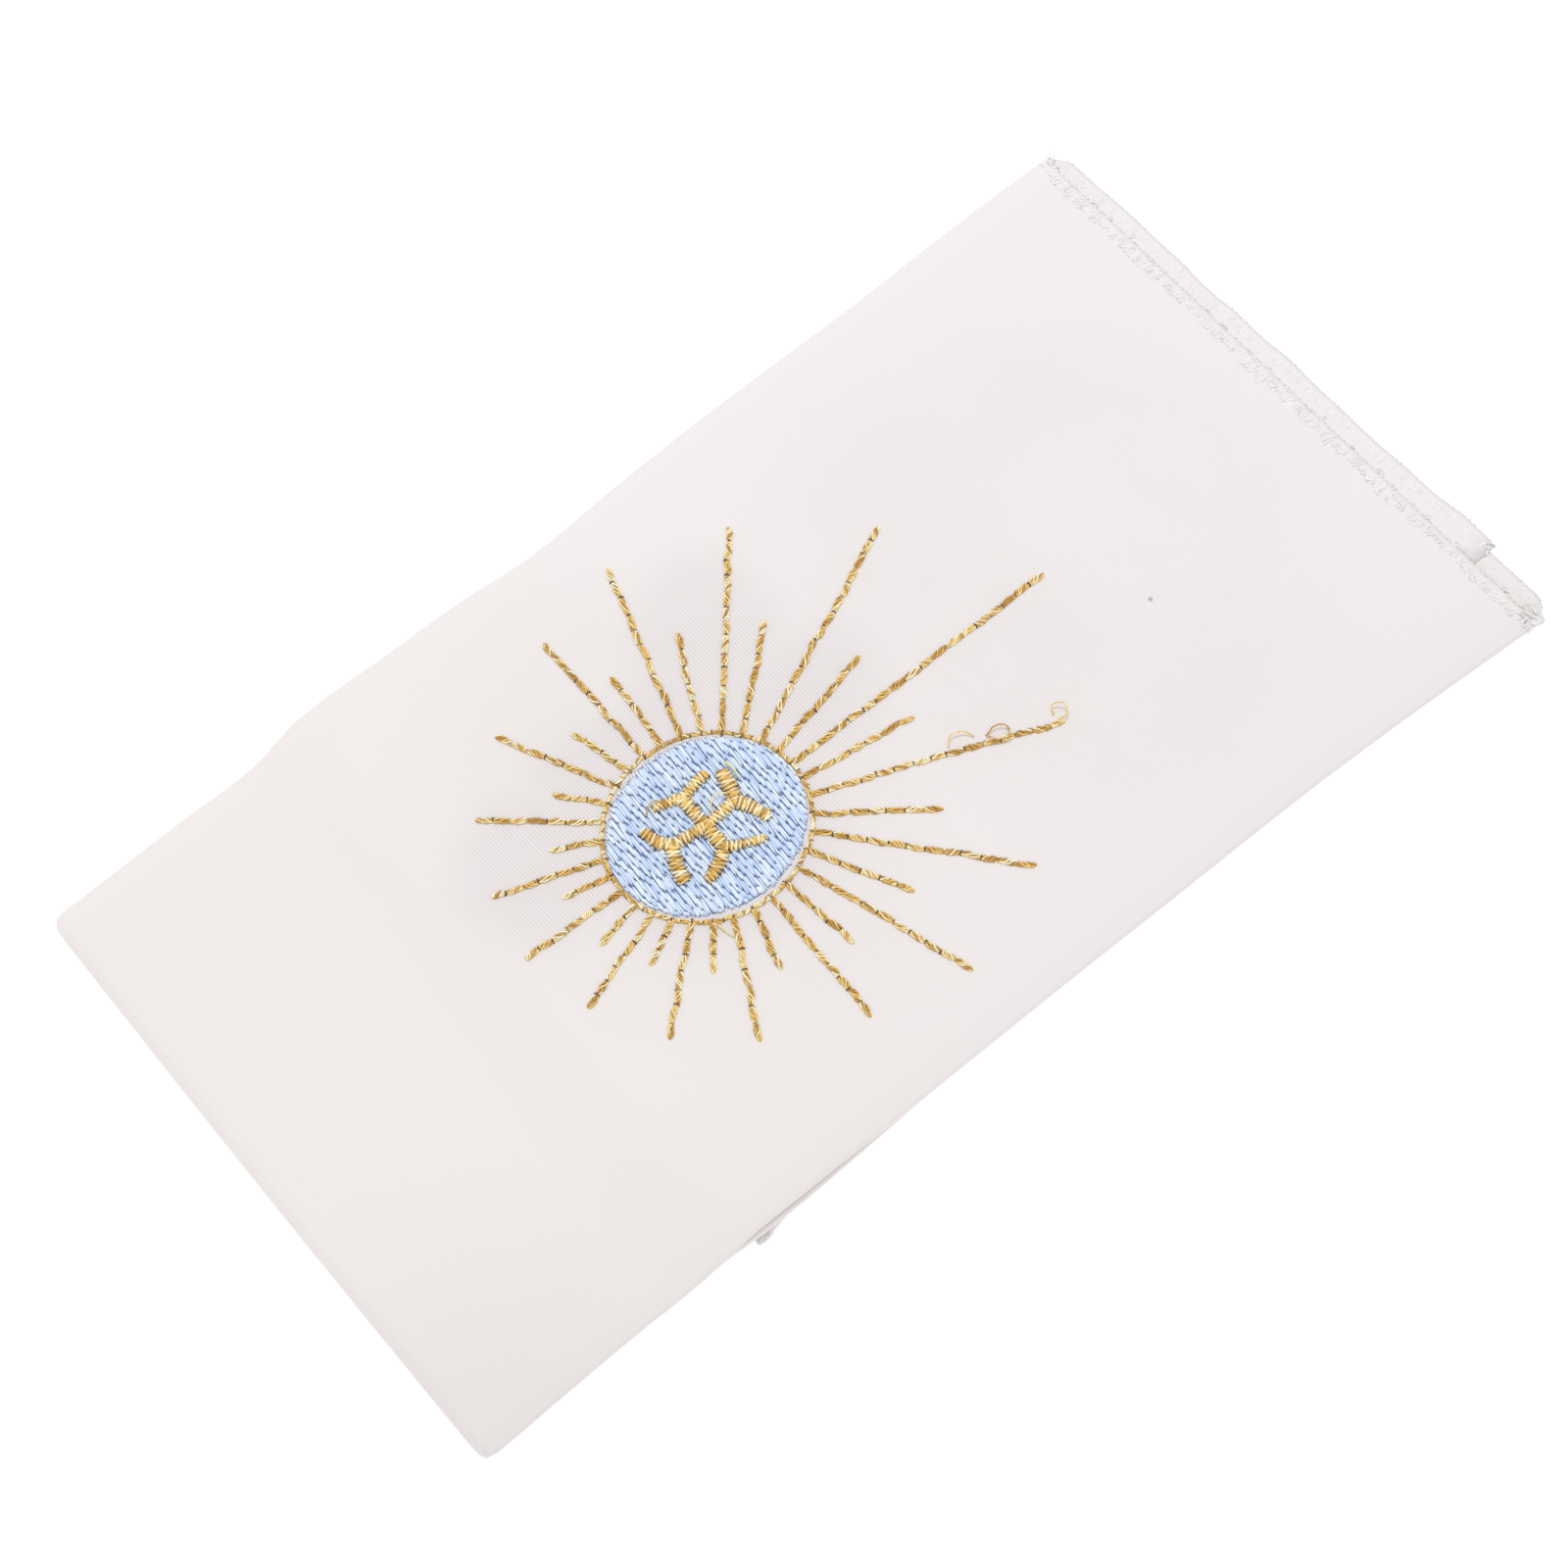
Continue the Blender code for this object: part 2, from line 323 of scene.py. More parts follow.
def cloth_points(k, u, lift=0.0):
    """Points of the folded cloth at k, u and lift.

    The section is followed to k, the row's offset and lift are measured off it along its normal,
    and y is spread between the front and back edges of the layer. Near its long edges the top
    layer sags by SAG times the square of how near, over a width ROUND. Within HEM_REACH of the
    face's hem it is pressed down by HEM_PRESS, less for each panel below, and thinned.
    """
    k, u, lift = np.broadcast_arrays(np.asarray(k, float), np.asarray(u, float), np.asarray(lift, float))
    row = row_at(u)
    stretch = np.clip(np.floor(k), 0, 4)
    t = k - stretch
    left_turn = np.pi / 2.0 + np.pi * t
    right_turn = np.pi / 2.0 - np.pi * t
    on = [stretch == number for number in range(4)]
    x = np.select(
        on,
        [
            row.hem + (row.left - row.hem) * t,
            row.left + FOLD_RADIUS * np.cos(left_turn),
            row.left + (row.right - row.left) * t,
            row.right + FOLD_RADIUS * np.cos(right_turn),
        ],
        row.right + (row.bottom - row.right) * t,
    )
    top = straight(x, row.y, top_height, 1.0)
    middle = straight(x, row.y, middle_height, -1.0)
    bottom = straight(x, row.y, bottom_height, 1.0)
    centre = HALF + FOLD_RADIUS
    left = (centre + FOLD_RADIUS * np.sin(left_turn), np.cos(left_turn), np.sin(left_turn))
    right = (centre + FOLD_RADIUS * np.sin(right_turn), -np.cos(right_turn), -np.sin(right_turn))
    parts = zip(top, left, middle, right, bottom)
    z, normal_x, normal_z = (np.select(on, [a, b, c, d], e) for a, b, c, d, e in parts)
    depth = np.select(on, [0.0 * t, t, 0.0 * t + 1.0, 1.0 + t], 2.0)

    on_top = 1.0 - smooth_step(depth)
    near_edge = 1.0 - np.clip((row.inset - FOLD_EDGE) / ROUND, 0.0, 1.0)
    to_hem = end_line(FACE_HEM, row.y) - x
    near_hem = np.where(stretch == 0, smooth_step(1.0 - to_hem / HEM_REACH), 0.0)
    press = on_top * SAG * near_edge ** 2 + near_hem * (HEM_PRESS - HEM_PRESS_LESS * row.panel)
    offset = row.offset - press + lift * row.normal_up * (1.0 - HEM_THIN * near_hem)
    upper = np.clip(depth, 0.0, 1.0)
    lower = np.clip(depth - 1.0, 0.0, 1.0)
    inside = along(x, "middle_in") * upper * (1.0 - lower) + along(x, "bottom_in") * lower
    front = along(x, "front") + inside
    back = along(x, "back") - BACK_SHARE * inside
    share = (row.y + lift * row.normal_y + HALF_WIDTH) / (2.0 * HALF_WIDTH)
    y = front + (back - front) * share
    return np.stack([x + normal_x * offset, y, z + normal_z * offset], axis=-1)


def face_height(x, y):
    """Height of the embroidered face of the top layer at a place of the packet."""
    front = along(x, "front")
    plain_y = (y - front) / (along(x, "back") - front) * 2.0 * HALF_WIDTH - HALF_WIDTH
    return top_height(x, plain_y) + PLY + SURFACE


def on_face(x, y, lift):
    """Points over the face, from places measured from the sun's centre and heights over the cloth."""
    packet_x = SUN_X + x
    packet_y = SUN_Y + y
    return np.stack([packet_x, packet_y, face_height(packet_x, packet_y) + lift], axis=-1)


def add_piece(name, points, faces, uv, material, values=None):
    """A mesh piece from arrays: points in millimetres, faces by size, uv for each face corner."""
    mesh = bpy.data.meshes.new(name)
    mesh.vertices.add(len(points))
    mesh.vertices.foreach_set("co", (points * MM).astype(np.float32).ravel())
    corners = np.concatenate([part.ravel() for part in faces])
    sizes = np.concatenate([np.full(len(part), part.shape[1]) for part in faces])
    mesh.loops.add(len(corners))
    mesh.loops.foreach_set("vertex_index", corners.astype(np.int32))
    mesh.polygons.add(len(sizes))
    mesh.polygons.foreach_set("loop_start", (np.cumsum(sizes) - sizes).astype(np.int32))
    mesh.update(calc_edges=True)
    mesh.uv_layers.new(name="flat").data.foreach_set("uv", uv.astype(np.float32).ravel())
    for key, value in (values or {}).items():
        mesh.attributes.new(key, "FLOAT", "POINT").data.foreach_set("value", value.astype(np.float32).ravel())
    mesh.shade_smooth()
    mesh.materials.append(material)
    piece = bpy.data.objects.new(name, mesh)
    bpy.context.scene.collection.objects.link(piece)
    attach(piece, "root")
    return piece


Tubes = namedtuple("Tubes", "points rings caps uv cap_uv tone dip")


def tubes(paths, wide, high, sides=6, reference=(0.0, 0.0, 1.0), dip=None):
    """Threads along paths: an ellipse of half width wide and half height high carried along each.

    paths is an array of threads, points and coordinates. The ellipse stands across the path, with
    its height nearest to reference. uv is the length along the thread and the share round it.
    """
    count, steps = paths.shape[:2]
    tangent = unit(np.gradient(paths, axis=1))
    side = unit(np.cross(tangent, np.asarray(reference, float)))
    top = np.cross(side, tangent)
    angle = 2.0 * np.pi * np.arange(sides) / sides
    wide = np.broadcast_to(np.asarray(wide, float), (count, steps))[:, :, None, None]
    high = np.broadcast_to(np.asarray(high, float), (count, steps))[:, :, None, None]
    ring = wide * np.cos(angle)[:, None] * side[:, :, None] + high * np.sin(angle)[:, None] * top[:, :, None]
    points = paths[:, :, None] + ring
    index = np.arange(count * steps * sides).reshape(count, steps, sides)
    turned = np.roll(index, -1, axis=2)
    rings = np.stack([index[:, :-1], index[:, 1:], turned[:, 1:], turned[:, :-1]], axis=-1).reshape(-1, 4)
    caps = np.concatenate([index[:, 0], index[:, -1, ::-1]])
    step = np.linalg.norm(np.diff(paths, axis=1), axis=2)
    run = np.concatenate([np.zeros((count, 1)), np.cumsum(step, axis=1)], axis=1)
    run = run + RANDOM.uniform(0.0, 40.0, (count, 1))
    here = np.repeat(run[:, :, None], sides, axis=2)
    share = np.broadcast_to(np.arange(sides) / sides, here.shape)
    start = np.stack([here, share], axis=-1)
    stop = np.stack([here, share + 1.0 / sides], axis=-1)
    uv = np.stack([start[:, :-1], start[:, 1:], stop[:, 1:], stop[:, :-1]], axis=3).reshape(-1, 2)
    cap_uv = np.concatenate([start[:, 0], start[:, -1, ::-1]]).reshape(-1, 2)
    tone = np.broadcast_to(RANDOM.uniform(0.0, 1.0, (count, 1, 1)), (count, steps, sides))
    # dip is the share of painted shade at each point, where the thread goes down into the cloth
    sink = np.zeros(steps) if dip is None else dip
    sink = np.broadcast_to(np.broadcast_to(sink, (count, steps))[:, :, None], (count, steps, sides))
    return Tubes(points.reshape(-1, 3), rings, caps, uv, cap_uv, tone.ravel(), sink.ravel())


def add_threads(name, groups, material):
    """Joins several lots of threads, all with the same number of sides, into one piece."""
    starts = np.cumsum([0] + [len(group.points) for group in groups])
    rings = np.concatenate([group.rings + start for group, start in zip(groups, starts)])
    caps = np.concatenate([group.caps + start for group, start in zip(groups, starts)])
    uv = np.concatenate([group.uv for group in groups] + [group.cap_uv for group in groups])
    points = np.concatenate([group.points for group in groups])
    values = {
        "tone": np.concatenate([group.tone for group in groups]),
        # dip: how much painted shade darkens each point
        "dip": np.concatenate([group.dip for group in groups]),
    }
    return add_piece(name, points, [rings, caps], uv, material, values)


def curve_through(points, steps):
    """A smooth path through a few points: a cubic through each, evenly spaced by length."""
    points = np.asarray(points, float)
    knots = np.concatenate([[0.0], np.cumsum(np.linalg.norm(np.diff(points, axis=0), axis=1))])
    slopes = np.stack([np.gradient(points[:, axis], knots) for axis in range(points.shape[1])], axis=1)
    t = np.linspace(0.0, knots[-1], steps)
    left = np.clip(np.searchsorted(knots, t) - 1, 0, len(knots) - 2)
    span = (knots[left + 1] - knots[left])[:, None]
    s = (t[:, None] - knots[left][:, None]) / span
    rise = s * s * (3.0 - 2.0 * s)
    bend = s * (1.0 - s) ** 2 * span * slopes[left] + s * s * (s - 1.0) * span * slopes[left + 1]
    return points[left] * (1.0 - rise) + points[left + 1] * rise + bend


# Materials


class Finish:
    """A material being put together: adds nodes, and links or sets their sockets."""

    def __init__(self, name):
        self.material = bpy.data.materials.new(name)
        self.material.use_nodes = True
        self.tree = self.material.node_tree
        self.shader = self.tree.nodes["Principled BSDF"]

    def set(self, socket, value):
        """Links a socket to another, or gives it a plain value."""
        if isinstance(value, bpy.types.NodeSocket):
            self.tree.links.new(value, socket)
        else:
            socket.default_value = value

    def node(self, kind, **inputs):
        """A node with its named inputs set. Capital and underscore names match the sockets."""
        made = self.tree.nodes.new(kind)
        for name, value in inputs.items():
            self.set(made.inputs[name.replace("_", " ")], value)
        return made

    def math(self, operation, first, second=0.0, third=0.0):
        """One sum."""
        made = self.tree.nodes.new("ShaderNodeMath")
        made.operation = operation
        for socket, value in zip(made.inputs, (first, second, third)):
            self.set(socket, value)
        return made.outputs[0]

    def mix(self, share, first, second):
        """One colour mix."""
        made = self.tree.nodes.new("ShaderNodeMix")
        made.data_type = "RGBA"
        self.set(made.inputs[0], share)
        self.set(made.inputs[6], first)
        self.set(made.inputs[7], second)
        return made.outputs[2]

    def noise(self, vector, scale, detail=2.0, rough=0.5):
        """Noise between 0 and 1, with scale in lumps for each unit of vector."""
        made = self.node("ShaderNodeTexNoise", Vector=vector, Scale=scale, Detail=detail, Roughness=rough)
        return made.outputs[0]

    def ramp(self, value, low, high):
        """0 below low, 1 above high, smooth between."""
        made = self.node("ShaderNodeMapRange")
        made.interpolation_type = "SMOOTHSTEP"
        for socket, number in zip(made.inputs, (value, low, high)):
            self.set(socket, number)
        return made.outputs[0]

    def split(self, vector):
        """The three parts of a vector."""
        return self.node("ShaderNodeSeparateXYZ", Vector=vector).outputs

    def join(self, x, y, z=0.0):
        """A vector from three parts."""
        return self.node("ShaderNodeCombineXYZ", X=x, Y=y, Z=z).outputs[0]

    def attribute(self, name):
        """A number kept with each point of the mesh."""
        made = self.tree.nodes.new("ShaderNodeAttribute")
        made.attribute_name = name
        return made.outputs["Fac"]

    def flat(self):
        """The piece's own flat coordinates."""
        made = self.tree.nodes.new("ShaderNodeUVMap")
        made.uv_map = "flat"
        return made.outputs[0]

    def bump(self, height, distance, strength):
        """Joins a height to the shader's normal."""
        made = self.node("ShaderNodeBump", Height=height, Distance=distance, Strength=strength)
        self.set(self.shader.inputs["Normal"], made.outputs[0])

    def finish(self, colour, roughness, **plain):
        """Joins the colour and sets the shader's plain values on its own sockets."""
        self.set(self.shader.inputs["Base Color"], colour)
        self.set(self.shader.inputs["Roughness"], roughness)
        for name, value in plain.items():
            self.shader.inputs[name.replace("_", " ")].default_value = value
        return self.material


# Weave: threads that lie across the cloth's length are a little further apart
PITCH_ACROSS = 0.37
PITCH_ALONG = 0.43

# Patches of the cloth's colour, as discs measured from the sun's centre: first where the backing of the
# embroidery darkens the cloth, then stains and painted shade
Patch = namedtuple("Patch", "x y radius")
BACKING = (
    Patch(x=0.0, y=0.5, radius=16.5),
    Patch(x=-18.5, y=8.5, radius=10.5),
    Patch(x=-5.0, y=12.0, radius=9.5),
    Patch(x=9.0, y=10.0, radius=11.0),
    Patch(x=18.0, y=21.0, radius=9.5),
    Patch(x=22.0, y=5.0, radius=8.5),
)
COOL = Patch(x=68.4, y=0.7, radius=13.5)
# Patches where the weave shows clearly: its bump, and painted shade in its valleys
CLEAR_WEAVE = (Patch(x=2.0, y=4.0, radius=30.0), Patch(x=55.0, y=0.0, radius=34.0))
# Painted shade: the cloth is a little greyer toward its front left corner, where the light falls off
FRONT_LEFT_PAINTED_SHADE = Patch(x=-71.0, y=-46.0, radius=20.0)
FLECK = Patch(x=62.0, y=-12.3, radius=0.28)

COTTON = (0.806, 0.765, 0.764, 1.0)
COTTON_WARM = (0.812, 0.764, 0.742, 1.0)
COTTON_BACKED = (0.785, 0.738, 0.745, 1.0)
COTTON_COOL = (0.808, 0.790, 0.786, 1.0)
# Colour of the painted shade in the weave's valleys
COTTON_VALLEY_SHADE = (0.530, 0.500, 0.500, 1.0)
# Colour of the painted shade toward the front left corner and along the front edge
COTTON_PAINTED_SHADE = (0.740, 0.700, 0.696, 1.0)
COTTON_FLECK = (0.420, 0.400, 0.400, 1.0)


def sun_on_flat():
    """Where the sun's centre lies on the flat cloth: u, and length from the top hem."""
    u = U_FACE + SUN_Y - FRONT_CENTRE
    return u, end_line(FACE_HEM, SUN_Y) - SUN_X


def cotton():
    """Fine plain-woven cotton.

    The weave's height is the greater of two threads, each the size of a cosine across the thread,
    raised where it passes over and lowered where it passes under, by the product of both cosines.
    """
    fin = Finish("white_cotton")
    flat = fin.flat()
    u, v, _ = fin.split(flat)
    sun_u, sun_v = sun_on_flat()
    lumps = fin.noise(flat, 260.0, 3.0)
    sway = fin.math("MULTIPLY_ADD", lumps, 0.5, -0.25)
    pick_u = fin.math("ADD", fin.math("MULTIPLY", u, 1.0 / (PITCH_ACROSS * MM)), sway)
    pick_v = fin.math("ADD", fin.math("MULTIPLY", v, 1.0 / (PITCH_ALONG * MM)), sway)
    wave_u = fin.math("COSINE", fin.math("MULTIPLY", pick_u, np.pi))
    wave_v = fin.math("COSINE", fin.math("MULTIPLY", pick_v, np.pi))
    over = fin.math("MULTIPLY_ADD", fin.math("MULTIPLY", wave_u, wave_v), 0.5, 0.5)
    under = fin.math("SUBTRACT", 1.0, over)
    along_thread = fin.math("MULTIPLY", fin.math("ABSOLUTE", wave_u), over)
    across_thread = fin.math("MULTIPLY", fin.math("ABSOLUTE", wave_v), under)
    weave = fin.math("MAXIMUM", along_thread, across_thread)

    # Places measured from the sun's centre, in millimetres, for the stains, the backing and the painted shade
    plan_x = fin.math("MULTIPLY_ADD", v, -1.0 / MM, sun_v)
    plan_y = fin.math("MULTIPLY_ADD", u, 1.0 / MM, -sun_u)
    edge = fin.math("MULTIPLY_ADD", fin.noise(flat, 90.0, 3.0), 5.0, -2.5)

    def inside(patch, soft, rough_edge=0.0):
        """1 well inside a round patch, 0 outside it."""
        dx = fin.math("SUBTRACT", plan_x, patch.x)
        dy = fin.math("SUBTRACT", plan_y, patch.y)
        far = fin.math("SQRT", fin.math("ADD", fin.math("MULTIPLY", dx, dx), fin.math("MULTIPLY", dy, dy)))
        far = fin.math("ADD", far, rough_edge)
        return fin.math("SUBTRACT", 1.0, fin.ramp(far, patch.radius - soft, patch.radius + soft))

    def inside_any(patches, soft):
        """1 well inside any of several patches with uneven edges, 0 outside them all."""
        most = inside(patches[0], soft, edge)
        for patch in patches[1:]:
            most = fin.math("MAXIMUM", most, inside(patch, soft, edge))
        return most

    backed = inside_any(BACKING, 4.0)
    warm = fin.math("SUBTRACT", 1.0, fin.ramp(plan_x, -40.0, 30.0))
    mottle = fin.noise(flat, 70.0, 4.0, 0.6)
    colour = fin.mix(fin.math("MULTIPLY", warm, mottle), COTTON, COTTON_WARM)
    colour = fin.mix(fin.math("MULTIPLY", backed, 0.8), colour, COTTON_BACKED)
    colour = fin.mix(fin.math("MULTIPLY", inside(COOL, 3.0, edge), 0.55), colour, COTTON_COOL)
    colour = fin.mix(inside(FLECK, 0.2), colour, COTTON_FLECK)
    # Painted shade toward the front left corner and, fainter, all along the front edge
    colour = fin.mix(fin.math("MULTIPLY", inside(FRONT_LEFT_PAINTED_SHADE, 20.0, edge), 0.65), colour, COTTON_PAINTED_SHADE)
    painted_shade_to_front = fin.math("SUBTRACT", 1.0, fin.ramp(plan_y, -46.0, -14.0))
    colour = fin.mix(fin.math("MULTIPLY", painted_shade_to_front, 0.25), colour, COTTON_PAINTED_SHADE)
    # Painted shade in the weave's valleys near the sun; over the backing it is also the backing showing
    # through the weave
    valley = fin.math("SUBTRACT", 1.0, fin.ramp(weave, 0.0, 0.6))
    near_sun = fin.math("MULTIPLY_ADD", inside_any(CLEAR_WEAVE, 12.0), 0.92, 0.08)
    valley_shade_and_backing = fin.math("MULTIPLY", near_sun, fin.math("MULTIPLY_ADD", mottle, 0.60, 0.08))
    valley_shade_and_backing = fin.math("MULTIPLY_ADD", backed, 0.45, valley_shade_and_backing)
    colour = fin.mix(fin.math("MULTIPLY", valley, valley_shade_and_backing), colour, COTTON_VALLEY_SHADE)
    fin.bump(fin.math("MULTIPLY_ADD", lumps, 0.6, fin.math("MULTIPLY", weave, near_sun)), 0.05 * MM, 0.55)
    return fin.finish(colour, 0.88, Sheen_Weight=0.15, Sheen_Roughness=0.5, Specular_IOR_Level=0.25)


def thread_finish(name, light, plain, deep_shade, hole_shade, roughness, twist=0.34, **shader_values):
    """Shiny embroidery thread: plain colour with light and deep streaks along it.

    The light streaks are a painted highlight and the deep ones painted shade between the twisted
    plies, shifted for each thread by its own random tone. The streaks follow a helix: noise over
    the length along the thread plus its turn round it. Where the thread goes down into the cloth
    its colour darkens to a painted shade, as much as its dip.
    """
    fin = Finish(name)
    run, turn, _ = fin.split(fin.flat())
    tone = fin.attribute("tone")
    spiral = fin.math("ADD", fin.math("MULTIPLY", run, 1.0 / twist), turn)
    strands = fin.math("SINE", fin.math("MULTIPLY", spiral, 4.0 * np.pi))
    place = fin.join(fin.math("MULTIPLY", run, 1.3), fin.math("MULTIPLY", turn, 3.0), tone)
    streak = fin.noise(place, 1.0, 3.0, 0.65)
    share = fin.math("ADD", fin.math("MULTIPLY_ADD", tone, 0.5, -0.25), streak)
    colour = fin.mix(fin.ramp(share, 0.25, 0.55), deep_shade, plain)
    colour = fin.mix(fin.ramp(share, 0.50, 0.78), colour, light)
    colour = fin.mix(fin.ramp(fin.attribute("dip"), 0.15, 1.0), colour, hole_shade)
    fin.bump(fin.math("MULTIPLY_ADD", streak, 0.5, strands), 0.02 * MM, 0.6)
    return fin.finish(colour, roughness, Sheen_Weight=0.1, **shader_values)


def gold_thread():
    """Gold-yellow satin thread."""
    return thread_finish(
        "gold_thread",
        # The first colour is a painted highlight; the last two are painted shade, along the twist and where
        # the thread goes into the cloth
        light=(1.00, 0.97, 0.70, 1.0),
        plain=(0.95, 0.65, 0.18, 1.0),
        deep_shade=(0.52, 0.26, 0.025, 1.0),
        hole_shade=(0.10, 0.035, 0.006, 1.0),
        roughness=0.26,
        Specular_IOR_Level=0.7,
    )


def blue_thread():
    """Light blue satin thread."""
    return thread_finish(
        "blue_thread",
        # The first colour is a painted highlight; the last two are painted shade, along the twist and where
        # the thread goes into the cloth
        light=(0.83, 0.92, 1.00, 1.0),
        plain=(0.70, 0.82, 1.00, 1.0),
        deep_shade=(0.55, 0.69, 0.97, 1.0),
        hole_shade=(0.15, 0.22, 0.42, 1.0),
        roughness=0.32,
    )


def white_thread():
    """Shiny white overlock thread."""
    return thread_finish(
        "white_thread",
        # The first colour is a painted highlight; the last two are painted shade, along the twist and where
        # the thread goes into the cloth
        light=(0.95, 0.94, 0.93, 1.0),
        plain=(0.89, 0.87, 0.865, 1.0),
        deep_shade=(0.83, 0.80, 0.80, 1.0),
        hole_shade=(0.75, 0.72, 0.72, 1.0),
        roughness=0.4,
    )


# Cloth sheet


def spread(*stops):
    """Places between stops: pairs of a place and the number of steps up to it, after the first place."""
    places = [np.array([stops[0]])]
    start = stops[0]
    for stop, steps in stops[1:]:
        places.append(np.linspace(start, stop, steps + 1)[1:])
        start = stop
    return np.concatenate(places)


EDGE_BAND = 4.5


def cloth_sheet():
    """The cloth as a thin closed sheet: a face and a back, half the thickness off cloth_points."""
    k = spread(0.0, (0.06, 12), (1.0, 124), (2.0, 10), (3.0, 70), (4.0, 10), (5.0, 56))
    u = spread(
        0.0,
        (U_FRONT - EDGE_BAND, 12),
        (U_FRONT, 4),
        (U_FACE, 7),
        (U_FACE + EDGE_BAND, 8),
        (U_BACK - EDGE_BAND, 56),
        (U_BACK, 8),
        (U_TUCK, 6),
        (U_TUCK + EDGE_BAND, 4),
        (WIDTH, 24),
    )
    grid_k, grid_u = np.meshgrid(k, u, indexing="ij")
    face = cloth_points(grid_k, grid_u, SURFACE)
    back = cloth_points(grid_k, grid_u, -SURFACE)
    flat = np.stack([grid_u, flat_length(grid_k, row_at(grid_u))], axis=-1) * MM
    count = grid_k.size
    index = np.arange(count).reshape(grid_k.shape)

    def quads(low, high):
        """Quads between two lines of corners."""
        return np.stack([low[:-1], low[1:], high[1:], high[:-1]], axis=-1)

    over = np.stack([index[:-1, :-1], index[:-1, 1:], index[1:, 1:], index[1:, :-1]], axis=-1).reshape(-1, 4)
    under = over[:, ::-1] + count
    rim = np.concatenate([index[0], index[1:, -1], index[-1, -2::-1], index[-2::-1, 0]])
    side = quads(rim + count, rim)
    faces = np.concatenate([over, under, side])
    uv = np.concatenate([flat.reshape(-1, 2), flat.reshape(-1, 2)])[faces.ravel()]
    points = np.concatenate([face.reshape(-1, 3), back.reshape(-1, 3)])
    piece = add_piece("cloth_sheet", points, [faces], uv, cotton())
    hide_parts("cloth")
    return piece


# Embroidery


def stitch_profile(steps, pinch):
    """Places along a stitch, close together at its ends, with its arch and its dip.

    Places go from 0 to 1 as half of 1 minus a cosine, the arch is 1 - |2 t - 1| to the power
    pinch, and the dip is 1 minus the arch.
    """
    t = 0.5 - 0.5 * np.cos(np.linspace(0.0, np.pi, steps))
    arch = 1.0 - np.abs(2.0 * t - 1.0) ** pinch
    return t, arch, 1.0 - arch


RUN_WIDE = 0.13
RUN_HIGH = 0.12
RUN_APART = 0.33
RUN_STEPS = 14
RUN_STRANDS = 4
RUN_TURNS = (0.5, 0.75, 1.0, 1.5)
RUN_LIFT = 0.16
RUN_SIDES = 5


def run_stitches(starts, stops, closed, apart=RUN_APART, strands=RUN_STRANDS):
    """Bean stitches between needle points: strands that lie round one another, more or less twisted.

    A strand lies off the line between two needle points by apart times the cosine of its turn, to
    the side, and a little above or below the others by the sine of it. Its turn is its share of a
    circle plus the stitch's own twist, times t. The strands draw together towards both ends as
    the root of a sine, and wholly where closed is 1, at the end of a line, as t to the power 8.
    """
    t, arch, dip = stitch_profile(RUN_STEPS, 9.0)
    count = len(starts)
    ahead = stops - starts
    side = unit(np.stack([-ahead[:, 1], ahead[:, 0]], axis=1))
    twist = 2.0 * np.pi * RANDOM.choice(RUN_TURNS, (count, 1)) * RANDOM.choice((-1.0, 1.0), (count, 1))
    first_turn = RANDOM.uniform(0.0, 2.0 * np.pi, (count, 1))
    draw_in = (0.35 + 0.65 * np.sin(np.pi * t) ** 0.5) * (1.0 - 0.8 * closed[:, None] * t ** 8)
    wave = RANDOM.normal(0.0, 0.05, (count, 1)) * np.sin(np.pi * t)
    lots = []
    for strand in range(strands):
        turn = first_turn + 2.0 * np.pi * strand / strands + twist * t
        off = apart * RANDOM.uniform(0.8, 1.2, (count, 1)) * np.cos(turn) * draw_in + wave
        plan = starts[:, None] + ahead[:, None] * t[:, None] + side[:, None] * off[:, :, None]
        lift = RUN_LIFT + 0.10 * np.sin(turn) * arch - (0.10 + 0.15 * closed[:, None] * (t > 0.5)) * dip
        lots.append(on_face(plan[..., 0], plan[..., 1], lift))
    # Painted shade where the strands go down at the needle points
    sink = 0.35 * dip
    slim = 0.85 + 0.15 * arch
    return tubes(np.concatenate(lots), RUN_WIDE * slim, RUN_HIGH * slim, RUN_SIDES, dip=sink)


KNOT_LONG = 0.30
KNOT_WIDE = 0.13
KNOT_HIGH = 0.10
KNOT_STEPS = 6
# How much painted shade darkens the knots: at the rays' needle points, at their feet and between them on the
# ring
KNOT_SHADE = 0.9
FOOT_SHADE = 0.8
BETWEEN_SHADE = 0.5


def needle_knots(points, across, reach, dark):
    """Small knots at needle points, darkened with painted shade: a short strand across the line, bent down at
    both ends.
    """
    t, arch, dip = stitch_profile(KNOT_STEPS, 2.0)
    size = reach * RANDOM.uniform(0.6, 1.2, (len(points), 1))
    plan = points[:, None] + across[:, None] * (size * (2.0 * t - 1.0))[:, :, None]
    plan = plan + RANDOM.normal(0.0, 0.05, (len(points), 1, 2))
    lift = RUN_LIFT + 0.14 * arch - 0.14 * dip
    # shade is the painted shade of the needle hole, carried by the dip attribute
    shade = np.clip(RANDOM.normal(dark, 0.25, (len(points), 1)), 0.2, 1.0) + 0.0 * t
    return tubes(on_face(plan[..., 0], plan[..., 1], lift), KNOT_WIDE, KNOT_HIGH, RUN_SIDES, dip=shade)


